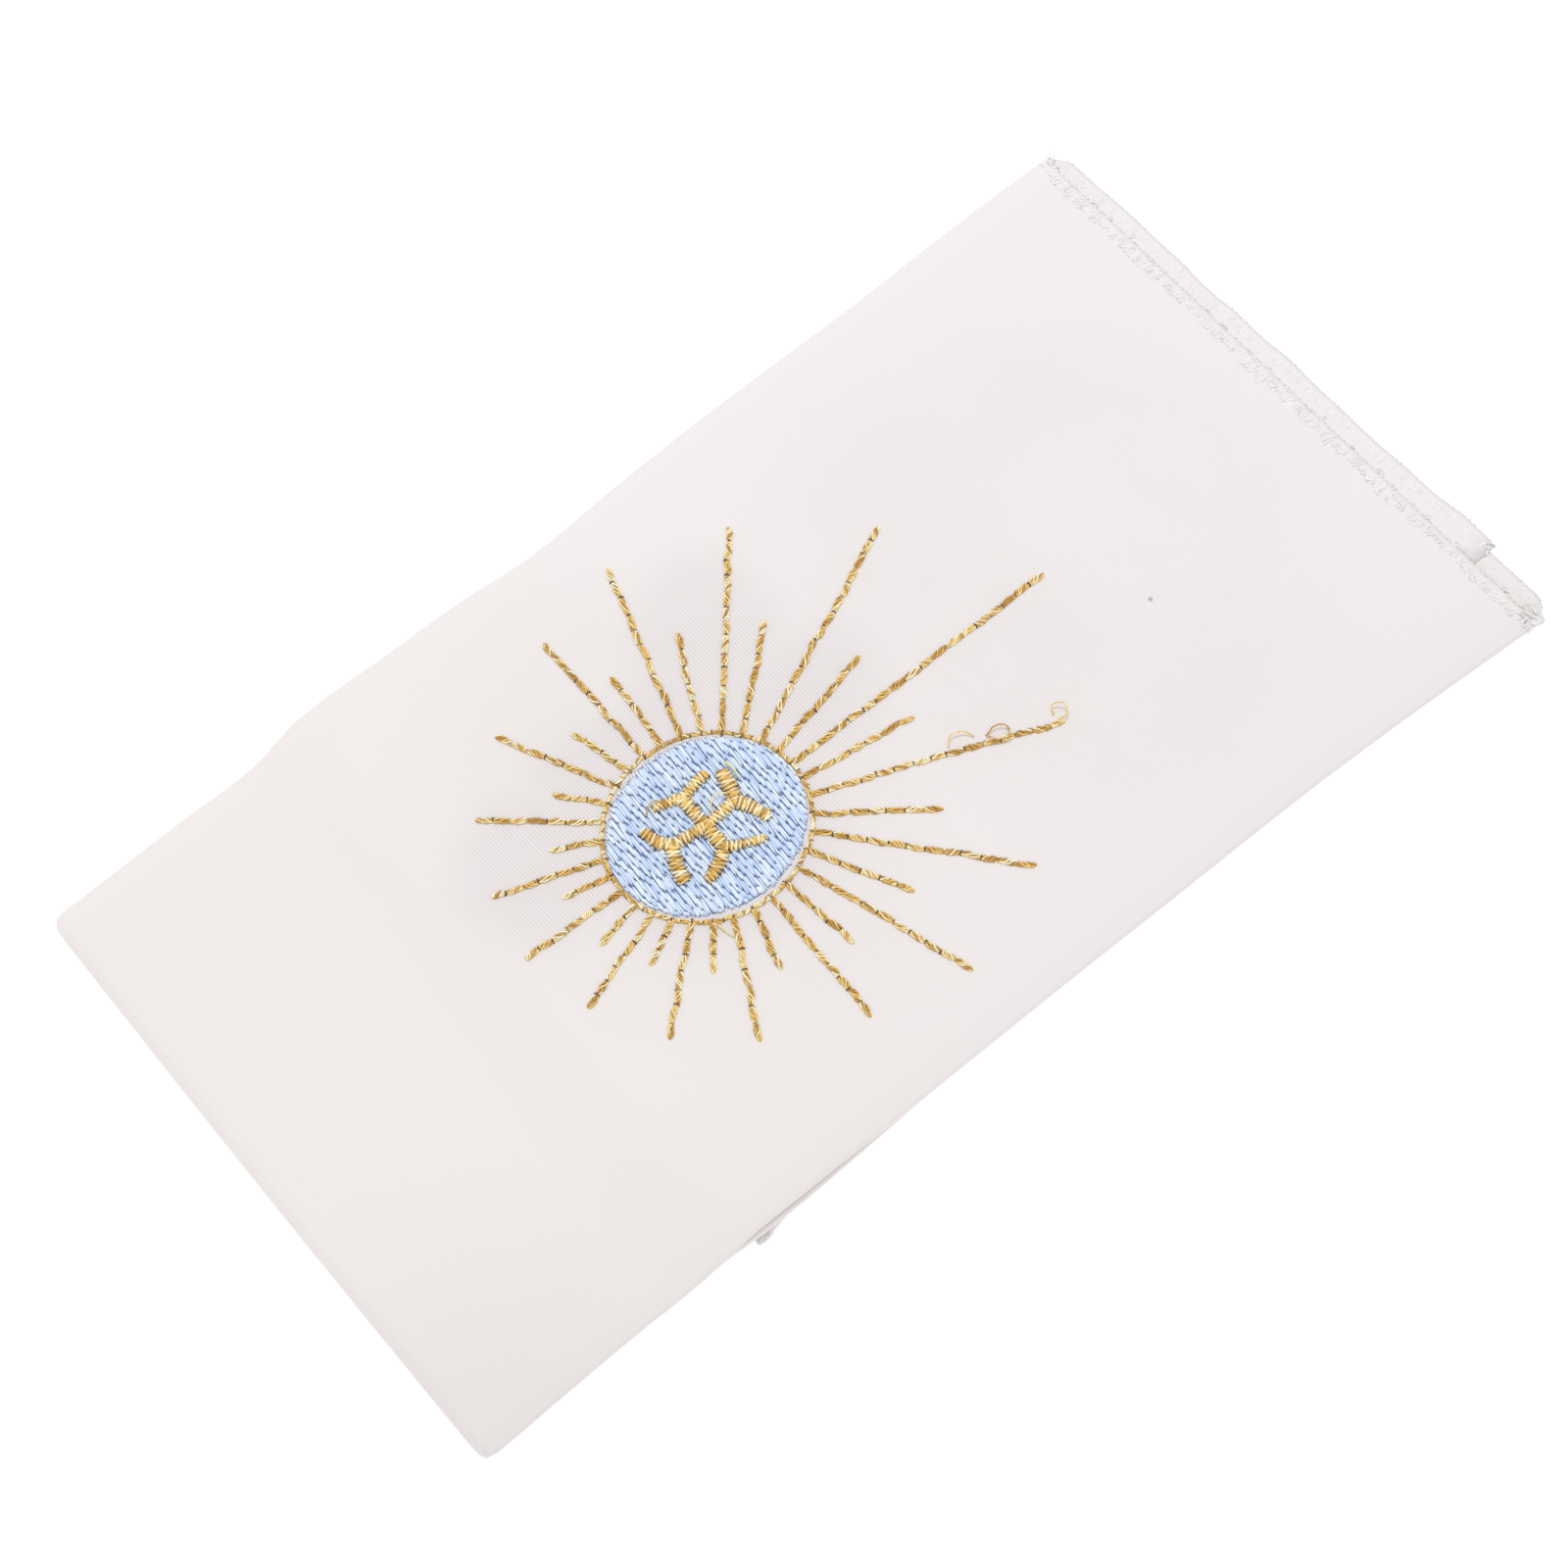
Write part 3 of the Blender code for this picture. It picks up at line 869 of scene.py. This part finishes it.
# How the stitched rays stray from the rule below: ray number, turn in degrees, length in millimetres
RayStray = namedtuple("RayStray", "number turn longer")
RAY_STRAYS = (
    RayStray(number=3, turn=1.6, longer=0.0),
    RayStray(number=4, turn=0.0, longer=-1.1),
    RayStray(number=8, turn=-1.1, longer=-1.0),
    RayStray(number=10, turn=0.0, longer=-1.3),
    RayStray(number=15, turn=-1.8, longer=0.0),
    RayStray(number=16, turn=-1.6, longer=-0.5),
    RayStray(number=17, turn=1.7, longer=0.3),
    RayStray(number=22, turn=-1.2, longer=-1.1),
    RayStray(number=24, turn=0.0, longer=-1.2),
    RayStray(number=28, turn=0.0, longer=-1.7),
    RayStray(number=30, turn=1.5, longer=0.1),
    RayStray(number=31, turn=2.2, longer=-0.5),
)


def sun_ray(number):
    """Foot and tip of a ray, measured from the sun's centre.

    With t the ray's angle on the unit circle and every place stretched by the ring's half axes,
    the foot lies on the ring at t. The tip's angle is t plus 4.8 degrees times a sine that rises
    and falls between 0 and 95 degrees. Long rays reach 2.1 + 1.94 (0.76 cos squared(0.55 t)
    + 0.24 of a bell 10 degrees wide), and short ones 1.5 + 0.74 times a fall from 30 to 140 degrees.
    """
    t = 360.0 * number / RAYS
    t = t - 360.0 if t > 180.0 else t
    size = abs(t)
    swing = 4.8 * np.sin(np.pi * min(size / 95.0, 1.0) ** 1.2) if size < 95.0 else 1.0
    tip_angle = np.radians(np.copysign(size + swing, t) if t else 0.0) + SUN_TURN
    foot_angle = np.radians(t) + SUN_TURN
    if number % 2:
        reach = 1.5 + 0.74 * (1.0 - smooth_step((size - 30.0) / 110.0))
    else:
        bell = np.exp(-((size / 10.0) ** 2))
        reach = 2.1 + 1.94 * (0.76 * np.cos(np.radians(0.55 * size)) ** 2 + 0.24 * bell)
    ring = np.array([RING_X, RING_Y])
    foot = ring * [np.cos(foot_angle), np.sin(foot_angle)]
    tip = ring * reach * [np.cos(tip_angle), np.sin(tip_angle)]
    for stray in RAY_STRAYS:
        if stray.number == number:
            turn = np.radians(stray.turn)
            tip = np.array([[np.cos(turn), -np.sin(turn)], [np.sin(turn), np.cos(turn)]]) @ tip
            tip = tip * (1.0 + stray.longer / np.linalg.norm(tip))
    return foot, tip


def needle_points(foot, tip):
    """Needle points along a ray, a stitch apart, a little uneven to the side and along."""
    far = np.linalg.norm(tip - foot)
    count = max(2, int(round(far / STITCH)))
    share = np.linspace(0.0, 1.0, count + 1)
    share[1:-1] += RANDOM.uniform(-0.12, 0.12, count - 1) / count
    side = unit(np.array([-(tip - foot)[1], (tip - foot)[0]]))
    stray = RANDOM.normal(0.0, 0.09, count + 1)
    stray[0] = 0.0
    return foot + np.outer(share, tip - foot) + np.outer(stray, side)


RING_APART = 0.19
RING_POINTS = 2


def sun_lines():
    """Rays and ring as bean stitches, and the knots at their needle points.

    The ring has RING_POINTS needle points for each ray, one of them at the ray's foot.
    """
    lines = [needle_points(*sun_ray(number)) for number in range(RAYS)]
    starts = np.concatenate([points[:-1] for points in lines])
    stops = np.concatenate([points[1:] for points in lines])
    closed = np.concatenate([np.arange(len(points) - 1) == len(points) - 2 for points in lines])
    rays = run_stitches(starts, stops, closed.astype(float))
    turn = SUN_TURN + 2.0 * np.pi * np.arange(RAYS * RING_POINTS) / (RAYS * RING_POINTS)
    ring_points = np.stack([RING_X * np.cos(turn), RING_Y * np.sin(turn)], axis=1)
    ring_points[1::2] += RANDOM.normal(0.0, 0.05, (RAYS, 2))
    ring_stops = np.roll(ring_points, -1, axis=0)
    ring = run_stitches(ring_points, ring_stops, np.zeros(len(ring_points)), RING_APART, 3)
    along_line = unit(stops - starts)[1:]
    across = np.stack([-along_line[:, 1], along_line[:, 0]], axis=1)
    at_feet = ring_points[::RING_POINTS]
    halfway = ring_points[1::2]
    knots = needle_knots(starts[1:], across, KNOT_LONG, KNOT_SHADE)
    feet = needle_knots(at_feet, unit(at_feet), 1.5 * KNOT_LONG, FOOT_SHADE)
    between = needle_knots(halfway, unit(halfway), 0.8 * KNOT_LONG, BETWEEN_SHADE)
    return [rays, ring, knots, feet, between]


FILL_TURN = np.radians(81.0)
FILL_PITCH = 0.31
FILL_STITCH = 3.3
FILL_SHIFT = 0.39
FILL_STEPS = 14
FILL_WIDE = 0.175
FILL_HIGH = 0.12
FILL_LIFT = 0.19
FILL_SLANT = 0.06
# Pitch of the threads that paint shade into the disc's slits
SHADE_UNDERLAY_PITCH = 0.8


def disc_chords(turn, pitch, shrink):
    """Chords of the disc at that turn and pitch: ahead and side directions, places, and both ends.

    The disc is an ellipse with half axes DISC_X and DISC_Y, made smaller by shrink.
    """
    ahead = np.array([np.cos(turn), np.sin(turn)])
    side = np.array([-ahead[1], ahead[0]])
    half_x = DISC_X * shrink
    half_y = DISC_Y * shrink
    reach = np.hypot(half_x * side[0], half_y * side[1])
    rows = np.arange(-reach + 0.1, reach - 0.1, pitch)
    a = (ahead[0] / half_x) ** 2 + (ahead[1] / half_y) ** 2
    b = rows * (ahead[0] * side[0] / half_x ** 2 + ahead[1] * side[1] / half_y ** 2)
    c = rows ** 2 * ((side[0] / half_x) ** 2 + (side[1] / half_y) ** 2) - 1.0
    half = np.sqrt(np.maximum(b * b - a * c, 0.0)) / a
    return ahead, side, rows, -b / a - half, -b / a + half


def disc_shade_underlay():
    """Long threads under the fill stitches and across them, wholly in painted shade, which show through its
    slits as their shade.
    """
    ahead, side, rows, low, high = disc_chords(FILL_TURN - np.pi / 2.0, SHADE_UNDERLAY_PITCH, 0.97)
    t = np.linspace(0.0, 1.0, FILL_STEPS)
    along_row = low[:, None] + (high - low)[:, None] * t
    x = along_row * ahead[0] + rows[:, None] * side[0]
    y = along_row * ahead[1] + rows[:, None] * side[1] + DISC_RISE
    return tubes(on_face(x, y, 0.02), 0.5 * SHADE_UNDERLAY_PITCH, 0.05, dip=1.0)


def disc_fill():
    """The disc's rows of fill stitches.

    Rows lie FILL_PITCH apart across the direction FILL_TURN. Each is cut into stitches of about
    FILL_STITCH, and its needle points are shifted by FILL_SHIFT of a stitch from the row before.
    A stitch narrows towards its ends, so that a slit shows at each needle point, and its colour darkens there
    with painted shade.
    """
    ahead, side, rows, low, high = disc_chords(FILL_TURN, FILL_PITCH, 1.0)
    low = low + RANDOM.normal(0.0, 0.10, len(rows))
    high = high + RANDOM.normal(0.0, 0.10, len(rows))
    number = np.arange(-6, 7)
    shift = (np.arange(len(rows)) * FILL_SHIFT) % 1.0
    points = (number + shift[:, None]) * FILL_STITCH + RANDOM.normal(0.0, 0.45, (len(rows), len(number)))
    start = np.clip(points[:, :-1], low[:, None], high[:, None])
    stop = np.clip(points[:, 1:], low[:, None], high[:, None])
    row, kept = np.nonzero(stop - start > 0.35)
    start = start[row, kept][:, None]
    stop = stop[row, kept][:, None]
    across_row = rows[row][:, None]

    t, arch, dip = stitch_profile(FILL_STEPS, 5.0)
    along_row = start + (stop - start) * t
    slant = FILL_SLANT + RANDOM.normal(0.0, 0.03, start.shape)
    off = across_row + slant * (2.0 * t - 1.0) + RANDOM.normal(0.0, 0.03, start.shape)
    x = along_row * ahead[0] + off * side[0]
    y = along_row * ahead[1] + off * side[1] + DISC_RISE
    lift = (FILL_LIFT + RANDOM.uniform(-0.03, 0.04, start.shape)) * arch - 0.06 * dip
    return tubes(on_face(x, y, lift), FILL_WIDE * (0.45 + 0.55 * arch), FILL_HIGH, dip=dip)


# The forked cross: arms with widths at both ends, and prongs with their arm, tip, bow and widths
CROSS_MIDDLE = (-0.1, 0.1)
Arm = namedtuple("Arm", "joint near far")
ARMS = {
    "left": Arm(joint=(-5.0, 0.8), near=1.1, far=1.7),
    "right": Arm(joint=(4.8, 0.4), near=1.2, far=1.7),
    "back": Arm(joint=(0.0, 4.8), near=1.5, far=1.6),
    "front": Arm(joint=(-0.3, -3.5), near=1.6, far=2.0),
}
Prong = namedtuple("Prong", "arm tip bow near far")
PRONGS = (
    Prong(arm="right", tip=(6.1, 4.6), bow=-0.2, near=1.8, far=2.0),
    Prong(arm="right", tip=(6.5, -4.3), bow=0.3, near=1.8, far=1.5),
    Prong(arm="left", tip=(-6.4, 4.8), bow=0.45, near=1.7, far=1.2),
    Prong(arm="left", tip=(-7.0, -4.1), bow=-0.2, near=1.7, far=1.9),
    Prong(arm="back", tip=(4.6, 5.5), bow=0.1, near=1.3, far=1.2),
    Prong(arm="back", tip=(-3.6, 6.0), bow=-0.2, near=1.5, far=0.9),
    Prong(arm="front", tip=(4.5, -5.8), bow=-0.25, near=1.3, far=0.7),
    Prong(arm="front", tip=(-4.8, -5.6), bow=0.4, near=1.7, far=1.2),
)
SATIN_PITCH = 0.27
SATIN_STEPS = 12
SATIN_WIDE = 0.155
SATIN_HIGH = 0.15
SATIN_OVER = 0.36
SATIN_BASE = FILL_LIFT + FILL_HIGH + 0.06
SATIN_LIFT = 0.22


def satin_column(start, stop, bow, near, far):
    """Satin stitches across a bowed line from start to stop, with its width going from near to far.

    The line is a parabola: the straight line plus bow times 4 t (1 - t) to its left. The last
    stitches get shorter as the square root of 1 minus the nearness to the tip squared.
    """
    start = np.asarray(start, float)
    stop = np.asarray(stop, float)
    ahead = stop - start
    left = unit(np.array([-ahead[1], ahead[0]]))
    count = int(np.linalg.norm(ahead) / SATIN_PITCH)
    t = (np.arange(count) + 0.5) / count
    line = start + np.outer(t, ahead) + np.outer(4.0 * bow * t * (1.0 - t), left)
    heading = unit(ahead + np.outer(4.0 * bow * (1.0 - 2.0 * t), left))
    side = np.stack([-heading[:, 1], heading[:, 0]], axis=1)
    lean = np.where(np.arange(count) % 2, 0.5, -0.5) * SATIN_PITCH
    half = (near + (far - near) * t + SATIN_OVER) / 2.0
    near_tip = np.clip(1.0 - (1.0 - t) * np.linalg.norm(ahead) / (0.4 * far), 0.0, 1.0)
    half = half * np.sqrt(1.0 - 0.75 * near_tip ** 2)
    s, arch, dip = stitch_profile(SATIN_STEPS, 4.0)
    end_a = half + RANDOM.normal(0.0, 0.09, count)
    end_b = half + RANDOM.normal(0.0, 0.09, count)
    reach = -end_a[:, None] + (end_a + end_b)[:, None] * s
    slide = (lean[:, None] + RANDOM.normal(0.0, 0.07, (count, 1))) * (2.0 * s - 1.0)
    plan = line[:, None] + side[:, None] * reach[:, :, None] + heading[:, None] * slide[:, :, None]
    lift = SATIN_BASE + (SATIN_LIFT + RANDOM.uniform(-0.02, 0.04, (count, 1))) * arch - 0.30 * dip
    paths = on_face(plan[..., 0], plan[..., 1], lift)
    # Painted shade where the satin stitches go down into the cloth
    return tubes(paths, SATIN_WIDE * (0.45 + 0.55 * arch), SATIN_HIGH, dip=np.minimum(1.3 * dip, 1.0))


def forked_cross():
    """Four arms from the middle to their joints, and two prongs from each joint."""
    groups = []
    for arm in ARMS.values():
        groups.append(satin_column(CROSS_MIDDLE, arm.joint, 0.0, arm.near, arm.far))
    for prong in PRONGS:
        groups.append(satin_column(ARMS[prong.arm].joint, prong.tip, prong.bow, prong.near, prong.far))
    return groups


# Stray threads: points measured from the sun's centre, with a height over the cloth
STRAYS = (
    ((29.6, -11.2, 0.2), (30.6, -10.4, 0.6), (32.2, -10.9, 0.6), (33.0, -12.2, 0.2)),
    ((34.2, -13.0, 0.2), (34.9, -14.6, 0.7), (36.3, -15.2, 0.6), (36.9, -14.2, 0.2)),
    ((34.3, -13.1, 0.2), (35.6, -12.9, 0.6), (36.8, -13.6, 0.6), (37.0, -14.3, 0.2)),
    ((42.4, -16.4, 0.2), (43.0, -15.4, 0.6), (44.2, -16.2, 0.9), (43.6, -17.6, 0.7), (42.4, -17.3, 0.3)),
    ((1.5, 0.7, 0.6), (1.9, 1.5, 1.0), (3.0, 2.3, 1.1), (4.7, 1.7, 0.6)),
    ((-2.2, 6.0, 0.5), (-3.1, 6.7, 0.9), (-4.3, 6.3, 0.8), (-4.8, 5.8, 0.5)),
    ((-7.6, -10.6, 0.2), (-7.5, -11.5, 0.3), (-7.3, -12.6, 0.3), (-7.1, -13.4, 0.1)),
)
STRAY_WIDE = 0.10
LOOSE_TOP = (0.12, 0.17, 1.0)


def stray_threads():
    """Loose loops of gold thread, each a smooth path through a few points."""
    paths = []
    for stray in STRAYS:
        path = curve_through(stray, 22)
        paths.append(on_face(path[:, 0], path[:, 1], path[:, 2]))
    return tubes(np.array(paths), STRAY_WIDE, STRAY_WIDE, RUN_SIDES, reference=LOOSE_TOP)


PALE_END = ((7.0, 2.2, 0.65), (7.3, 3.2, 0.75), (7.35, 4.2, 0.75), (7.3, 5.0, 0.6))


def pale_thread_end():
    """The pale cut end of a thread beside the cross: a fan of three short fibres."""
    path = curve_through(PALE_END, 10)
    fan = np.array([-0.16, 0.0, 0.16])[:, None] * np.linspace(0.0, 1.0, 10) ** 2
    paths = on_face(path[:, 0] + fan, path[:, 1] + 0.3 * fan, path[:, 2] + 0.0 * fan)
    material = thread_finish(
        "pale_thread",
        # The first colour is a painted highlight; the last two are painted shade, along the twist and where
        # the thread goes into the cloth
        light=(0.90, 0.92, 0.55, 1.0),
        plain=(0.80, 0.83, 0.45, 1.0),
        deep_shade=(0.70, 0.72, 0.35, 1.0),
        hole_shade=(0.50, 0.52, 0.25, 1.0),
        roughness=0.5,
    )
    return add_threads("pale_thread_end", [tubes(paths, 0.09, 0.07)], material)


def embroidery():
    """The gold sun, the blue disc and the gold cross as three thread pieces, and a stray end."""
    gold = gold_thread()
    return [
        add_threads("sun_stitching", [*sun_lines(), stray_threads()], gold),
        add_threads("disc_stitching", [disc_shade_underlay(), disc_fill()], blue_thread()),
        add_threads("cross_stitching", forked_cross(), gold),
        pale_thread_end(),
    ]


# Overlock stitching on the cut edges

LOOP_PITCH = 0.85
LOOP_DEPTH = 1.9
LOOP_WIDE = 0.12
LOOP_HIGH = 0.026
FLAT_HIGH = 0.006
FLAT_LOOSE = 0.4
FLAT_CLEAR = 0.5
HEM_STEP = 0.20
RINGLETS = 64
LOOP_STEPS = 13
FLOOR_CLEAR = 0.06


def hem_points(inset, u, lift, bottom):
    """Points near a hem, inset millimetres from its cut edge, on the top or the bottom layer."""
    sizes = lengths(row_at(u))
    k = 5.0 - inset / sizes[4] if bottom else inset / sizes[0]
    clipped = np.clip(k, 0.0, 5.0)
    beyond = np.minimum(inset, 0.0)
    points = cloth_points(clipped, u, lift)
    points[..., 0] += beyond if bottom else -beyond
    return points


def overlock(u_from, u_to, bottom, high=LOOP_HIGH, loose=1.0):
    """Overlock stitches along a hem between two values of u.

    Each stitch has two looper strands, which go from a needle point on the face over the cut edge
    to one on the back, one slanting forward and one backward, and a short needle stitch on the
    face. The distance from the edge is the loop depth times the size of a cosine, and the height
    over the cloth goes from the face to the back as the same cosine. loose scales how uneven
    they are.
    """
    count = int(abs(u_to - u_from) / LOOP_PITCH)
    places = np.linspace(u_from, u_to, count + 1)
    step = places[1] - places[0]
    start = places[:-1, None] + RANDOM.normal(0.0, 0.22, (count, 1)) * loose
    t = np.linspace(0.0, 1.0, LOOP_STEPS)
    swing = np.cos(np.pi * t)
    reach = LOOP_DEPTH + RANDOM.normal(0.0, 0.26, (count, 1)) * loose
    shape = SURFACE + high * 1.2
    groups = []
    for direction in (1.0, -1.0):
        lean = direction * RANDOM.uniform(0.2, 1.5, (count, 1))
        u = start + step * (0.5 + lean * (t - 0.5))
        bow = RANDOM.normal(0.0, 0.32, (count, 1)) * np.sin(2.0 * np.pi * t) * loose
        inset = reach * np.abs(swing) ** 0.8 - 0.10
        arch = RANDOM.uniform(0.0, 0.10, (count, 1)) * np.sin(np.pi * t) ** 2 * np.abs(swing) * loose
        lift = np.sign(swing) * (shape * np.minimum(np.abs(swing) * 3.0, 1.0) + arch)
        groups.append(hem_points(inset, u + bow, lift, bottom))
    loops = np.concatenate(groups)
    hop = np.sin(np.pi * t)
    needle_u = start + step * t * RANDOM.uniform(0.5, 1.0, (count, 1))
    needle_in = reach + 0.1 + RANDOM.normal(0.0, 0.12, (count, 1)) * hop * loose
    needles = hem_points(needle_in, needle_u, SURFACE + 2.0 * high * hop - 0.03, bottom)
    for paths in (loops, needles):
        paths[..., 2] = np.maximum(paths[..., 2], high + FLOOR_CLEAR)
    wide = LOOP_WIDE * RANDOM.uniform(0.6, 1.2, (len(loops), 1))
    along_y = (0.05, 1.0, 0.1)
    return [tubes(loops, high, wide, reference=along_y), tubes(needles, LOOP_WIDE, high)]


# Loose loops of overlock thread at corners: places on the packet, half axes and turn in degrees
Loop = namedtuple("Loop", "x y z long wide turn")
CORNER_LOOPS = (
    Loop(x=83.1, y=-43.3, z=4.05, long=0.75, wide=0.35, turn=-60.0),
    Loop(x=82.8, y=-44.2, z=4.10, long=0.60, wide=0.45, turn=-75.0),
    Loop(x=82.3, y=-45.1, z=4.05, long=0.70, wide=0.35, turn=-55.0),
    Loop(x=81.7, y=-45.8, z=4.05, long=0.65, wide=0.40, turn=-20.0),
    Loop(x=80.8, y=-45.9, z=4.10, long=0.60, wide=0.30, turn=5.0),
    Loop(x=81.9, y=-44.1, z=4.20, long=0.75, wide=0.25, turn=-70.0),
    Loop(x=81.2, y=-44.9, z=4.25, long=0.55, wide=0.30, turn=10.0),
    Loop(x=81.0, y=43.9, z=4.20, long=0.75, wide=0.40, turn=40.0),
    Loop(x=85.4, y=-34.1, z=3.80, long=0.70, wide=0.40, turn=-60.0),
    Loop(x=-44.0, y=-43.8, z=1.10, long=0.70, wide=0.35, turn=60.0),
)
CORNER_WIDE = 0.10
LOOP_OPEN = 0.85
RINGLET_WIDE = 0.08


def corner_loops():
    """Loose loops at the corners: most of an ellipse each, turned, and one side of it higher."""
    loops = np.array(CORNER_LOOPS)[:, :, None]
    x, y, z, long, wide, turn = np.moveaxis(loops, 1, 0)
    angle = np.linspace(0.0, 2.0 * np.pi * LOOP_OPEN, 22)
    a = long * np.cos(angle)
    b = wide * np.sin(angle)
    turn = np.radians(turn)
    plan_x = x + a * np.cos(turn) - b * np.sin(turn)
    plan_y = y + a * np.sin(turn) + b * np.cos(turn)
    paths = np.stack([plan_x, plan_y, z + 0.12 * np.cos(angle)], axis=-1)
    return tubes(paths, CORNER_WIDE, CORNER_WIDE, reference=LOOSE_TOP)


def ringlets():
    """Ringlets of loose thread along the top hem: most of a small ellipse each, turned at random."""
    u = np.linspace(U_FRONT + 1.0, U_TUCK - 1.0, RINGLETS)[:, None]
    u = u + RANDOM.normal(0.0, 0.4, u.shape)
    inset = RANDOM.uniform(-0.7, 1.8, u.shape)
    long = RANDOM.uniform(0.25, 0.55, u.shape)
    wide = long * RANDOM.uniform(0.4, 0.9, u.shape)
    turn = RANDOM.uniform(0.0, np.pi, u.shape)
    angle = RANDOM.uniform(0.0, 2.0 * np.pi, u.shape) + np.linspace(0.0, 2.0 * np.pi * LOOP_OPEN, LOOP_STEPS)
    a = long * np.cos(angle)
    b = wide * np.sin(angle)
    inset = inset + a * np.cos(turn) - b * np.sin(turn)
    lift = SURFACE + 0.06 + 0.03 * np.sin(angle)
    paths = hem_points(inset, u + a * np.sin(turn) + b * np.cos(turn), lift, False)
    paths[..., 2] -= HEM_STEP * smooth_step(-inset / 0.4)
    return tubes(paths, RINGLET_WIDE, RINGLET_WIDE / 2.0, reference=LOOSE_TOP)


def hems():
    """Overlock along both hems, on all three panels, with loose loops and ringlets at the top one."""
    white = white_thread()
    pieces = []
    for name, bottom in (("top_hem_overlock", False), ("bottom_hem_overlock", True)):
        groups = [
            *overlock(U_FRONT, U_TUCK, bottom),
            *overlock(U_TUCK + FLAT_CLEAR, WIDTH, bottom, FLAT_HIGH, FLAT_LOOSE),
            *overlock(0.0, U_FRONT - FLAT_CLEAR, bottom, FLAT_HIGH, FLAT_LOOSE),
        ]
        if not bottom:
            groups += [corner_loops(), ringlets()]
        pieces.append(add_threads(name, groups, white))
    return pieces


# Camera, light and floor

VIEW_AZIMUTH = -40.7
VIEW_ELEVATION = 65.0
VIEW_DISTANCE = 779.0
VIEW_AIM = (-3.6, -1.5, 4.4)
LENS = 145.0
SENSOR = 36.0

FLOOR_SIZE = 3000.0
FLOOR_COLOUR = (0.86, 0.86, 0.86, 1.0)
FLOOR_GLOW = 0.45
SKY = 0.84
KEY_AZIMUTH = 145.0
KEY_ELEVATION = 68.0
KEY_DISTANCE = 900.0
KEY_SIZE = 200.0
KEY_POWER = 2.35


def direction_from(azimuth, elevation):
    """Unit vector from the scene to a place at that azimuth and elevation, in degrees."""
    a = np.radians(azimuth)
    e = np.radians(elevation)
    return Vector((np.sin(a) * np.cos(e), -np.cos(a) * np.cos(e), np.sin(e)))


def add_camera():
    """The camera at the photograph's angle, aimed at the middle of the cloth."""
    data = bpy.data.cameras.new("camera")
    data.lens = LENS
    data.sensor_width = SENSOR
    data.clip_start = 0.05
    data.clip_end = 20.0
    camera = bpy.data.objects.new("camera", data)
    bpy.context.scene.collection.objects.link(camera)
    back = direction_from(VIEW_AZIMUTH, VIEW_ELEVATION)
    camera.location = Vector(VIEW_AIM) * MM + back * VIEW_DISTANCE * MM
    camera.rotation_mode = "QUATERNION"
    camera.rotation_quaternion = (-back).to_track_quat("-Z", "Y")
    bpy.context.scene.camera = camera


def add_key_light():
    """A soft square light from the back right that faces the middle of the cloth."""
    data = bpy.data.lights.new("key", "AREA")
    data.size = KEY_SIZE * MM
    data.energy = KEY_POWER
    light = bpy.data.objects.new("key", data)
    bpy.context.scene.collection.objects.link(light)
    toward = direction_from(KEY_AZIMUTH, KEY_ELEVATION)
    light.location = toward * KEY_DISTANCE * MM
    light.rotation_mode = "QUATERNION"
    light.rotation_quaternion = (-toward).to_track_quat("-Z", "Y")


def add_floor():
    """A plain pale floor."""
    fin = Finish("pale_floor")
    glow = {"Emission_Color": (1.0, 1.0, 1.0, 1.0), "Emission_Strength": FLOOR_GLOW}
    material = fin.finish(FLOOR_COLOUR, 1.0, Specular_IOR_Level=0.0, **glow)
    half = FLOOR_SIZE / 2.0
    corners = np.array([[-half, -half, 0.0], [half, -half, 0.0], [half, half, 0.0], [-half, half, 0.0]]) * MM
    mesh = bpy.data.meshes.new("floor")
    mesh.from_pydata(corners.tolist(), [], [(0, 1, 2, 3)])
    mesh.materials.append(material)
    floor = bpy.data.objects.new("floor", mesh)
    bpy.context.scene.collection.objects.link(floor)


def add_light():
    """Even sky light, and one soft key from the back right, which also gives the threads their shine."""
    scene = bpy.context.scene
    world = bpy.data.worlds.new("studio")
    world.use_nodes = True
    background = world.node_tree.nodes["Background"]
    background.inputs["Color"].default_value = (1.0, 1.0, 1.0, 1.0)
    background.inputs["Strength"].default_value = SKY
    scene.world = world
    scene.view_settings.view_transform = "Standard"
    add_key_light()


add_camera()
add_light()
add_floor()
sheet = cloth_sheet()
stitching = embroidery() + hems()
FLAT_LENGTH = float(sum(lengths(row_at(np.array([U_FACE + HALF_WIDTH]))))[0])
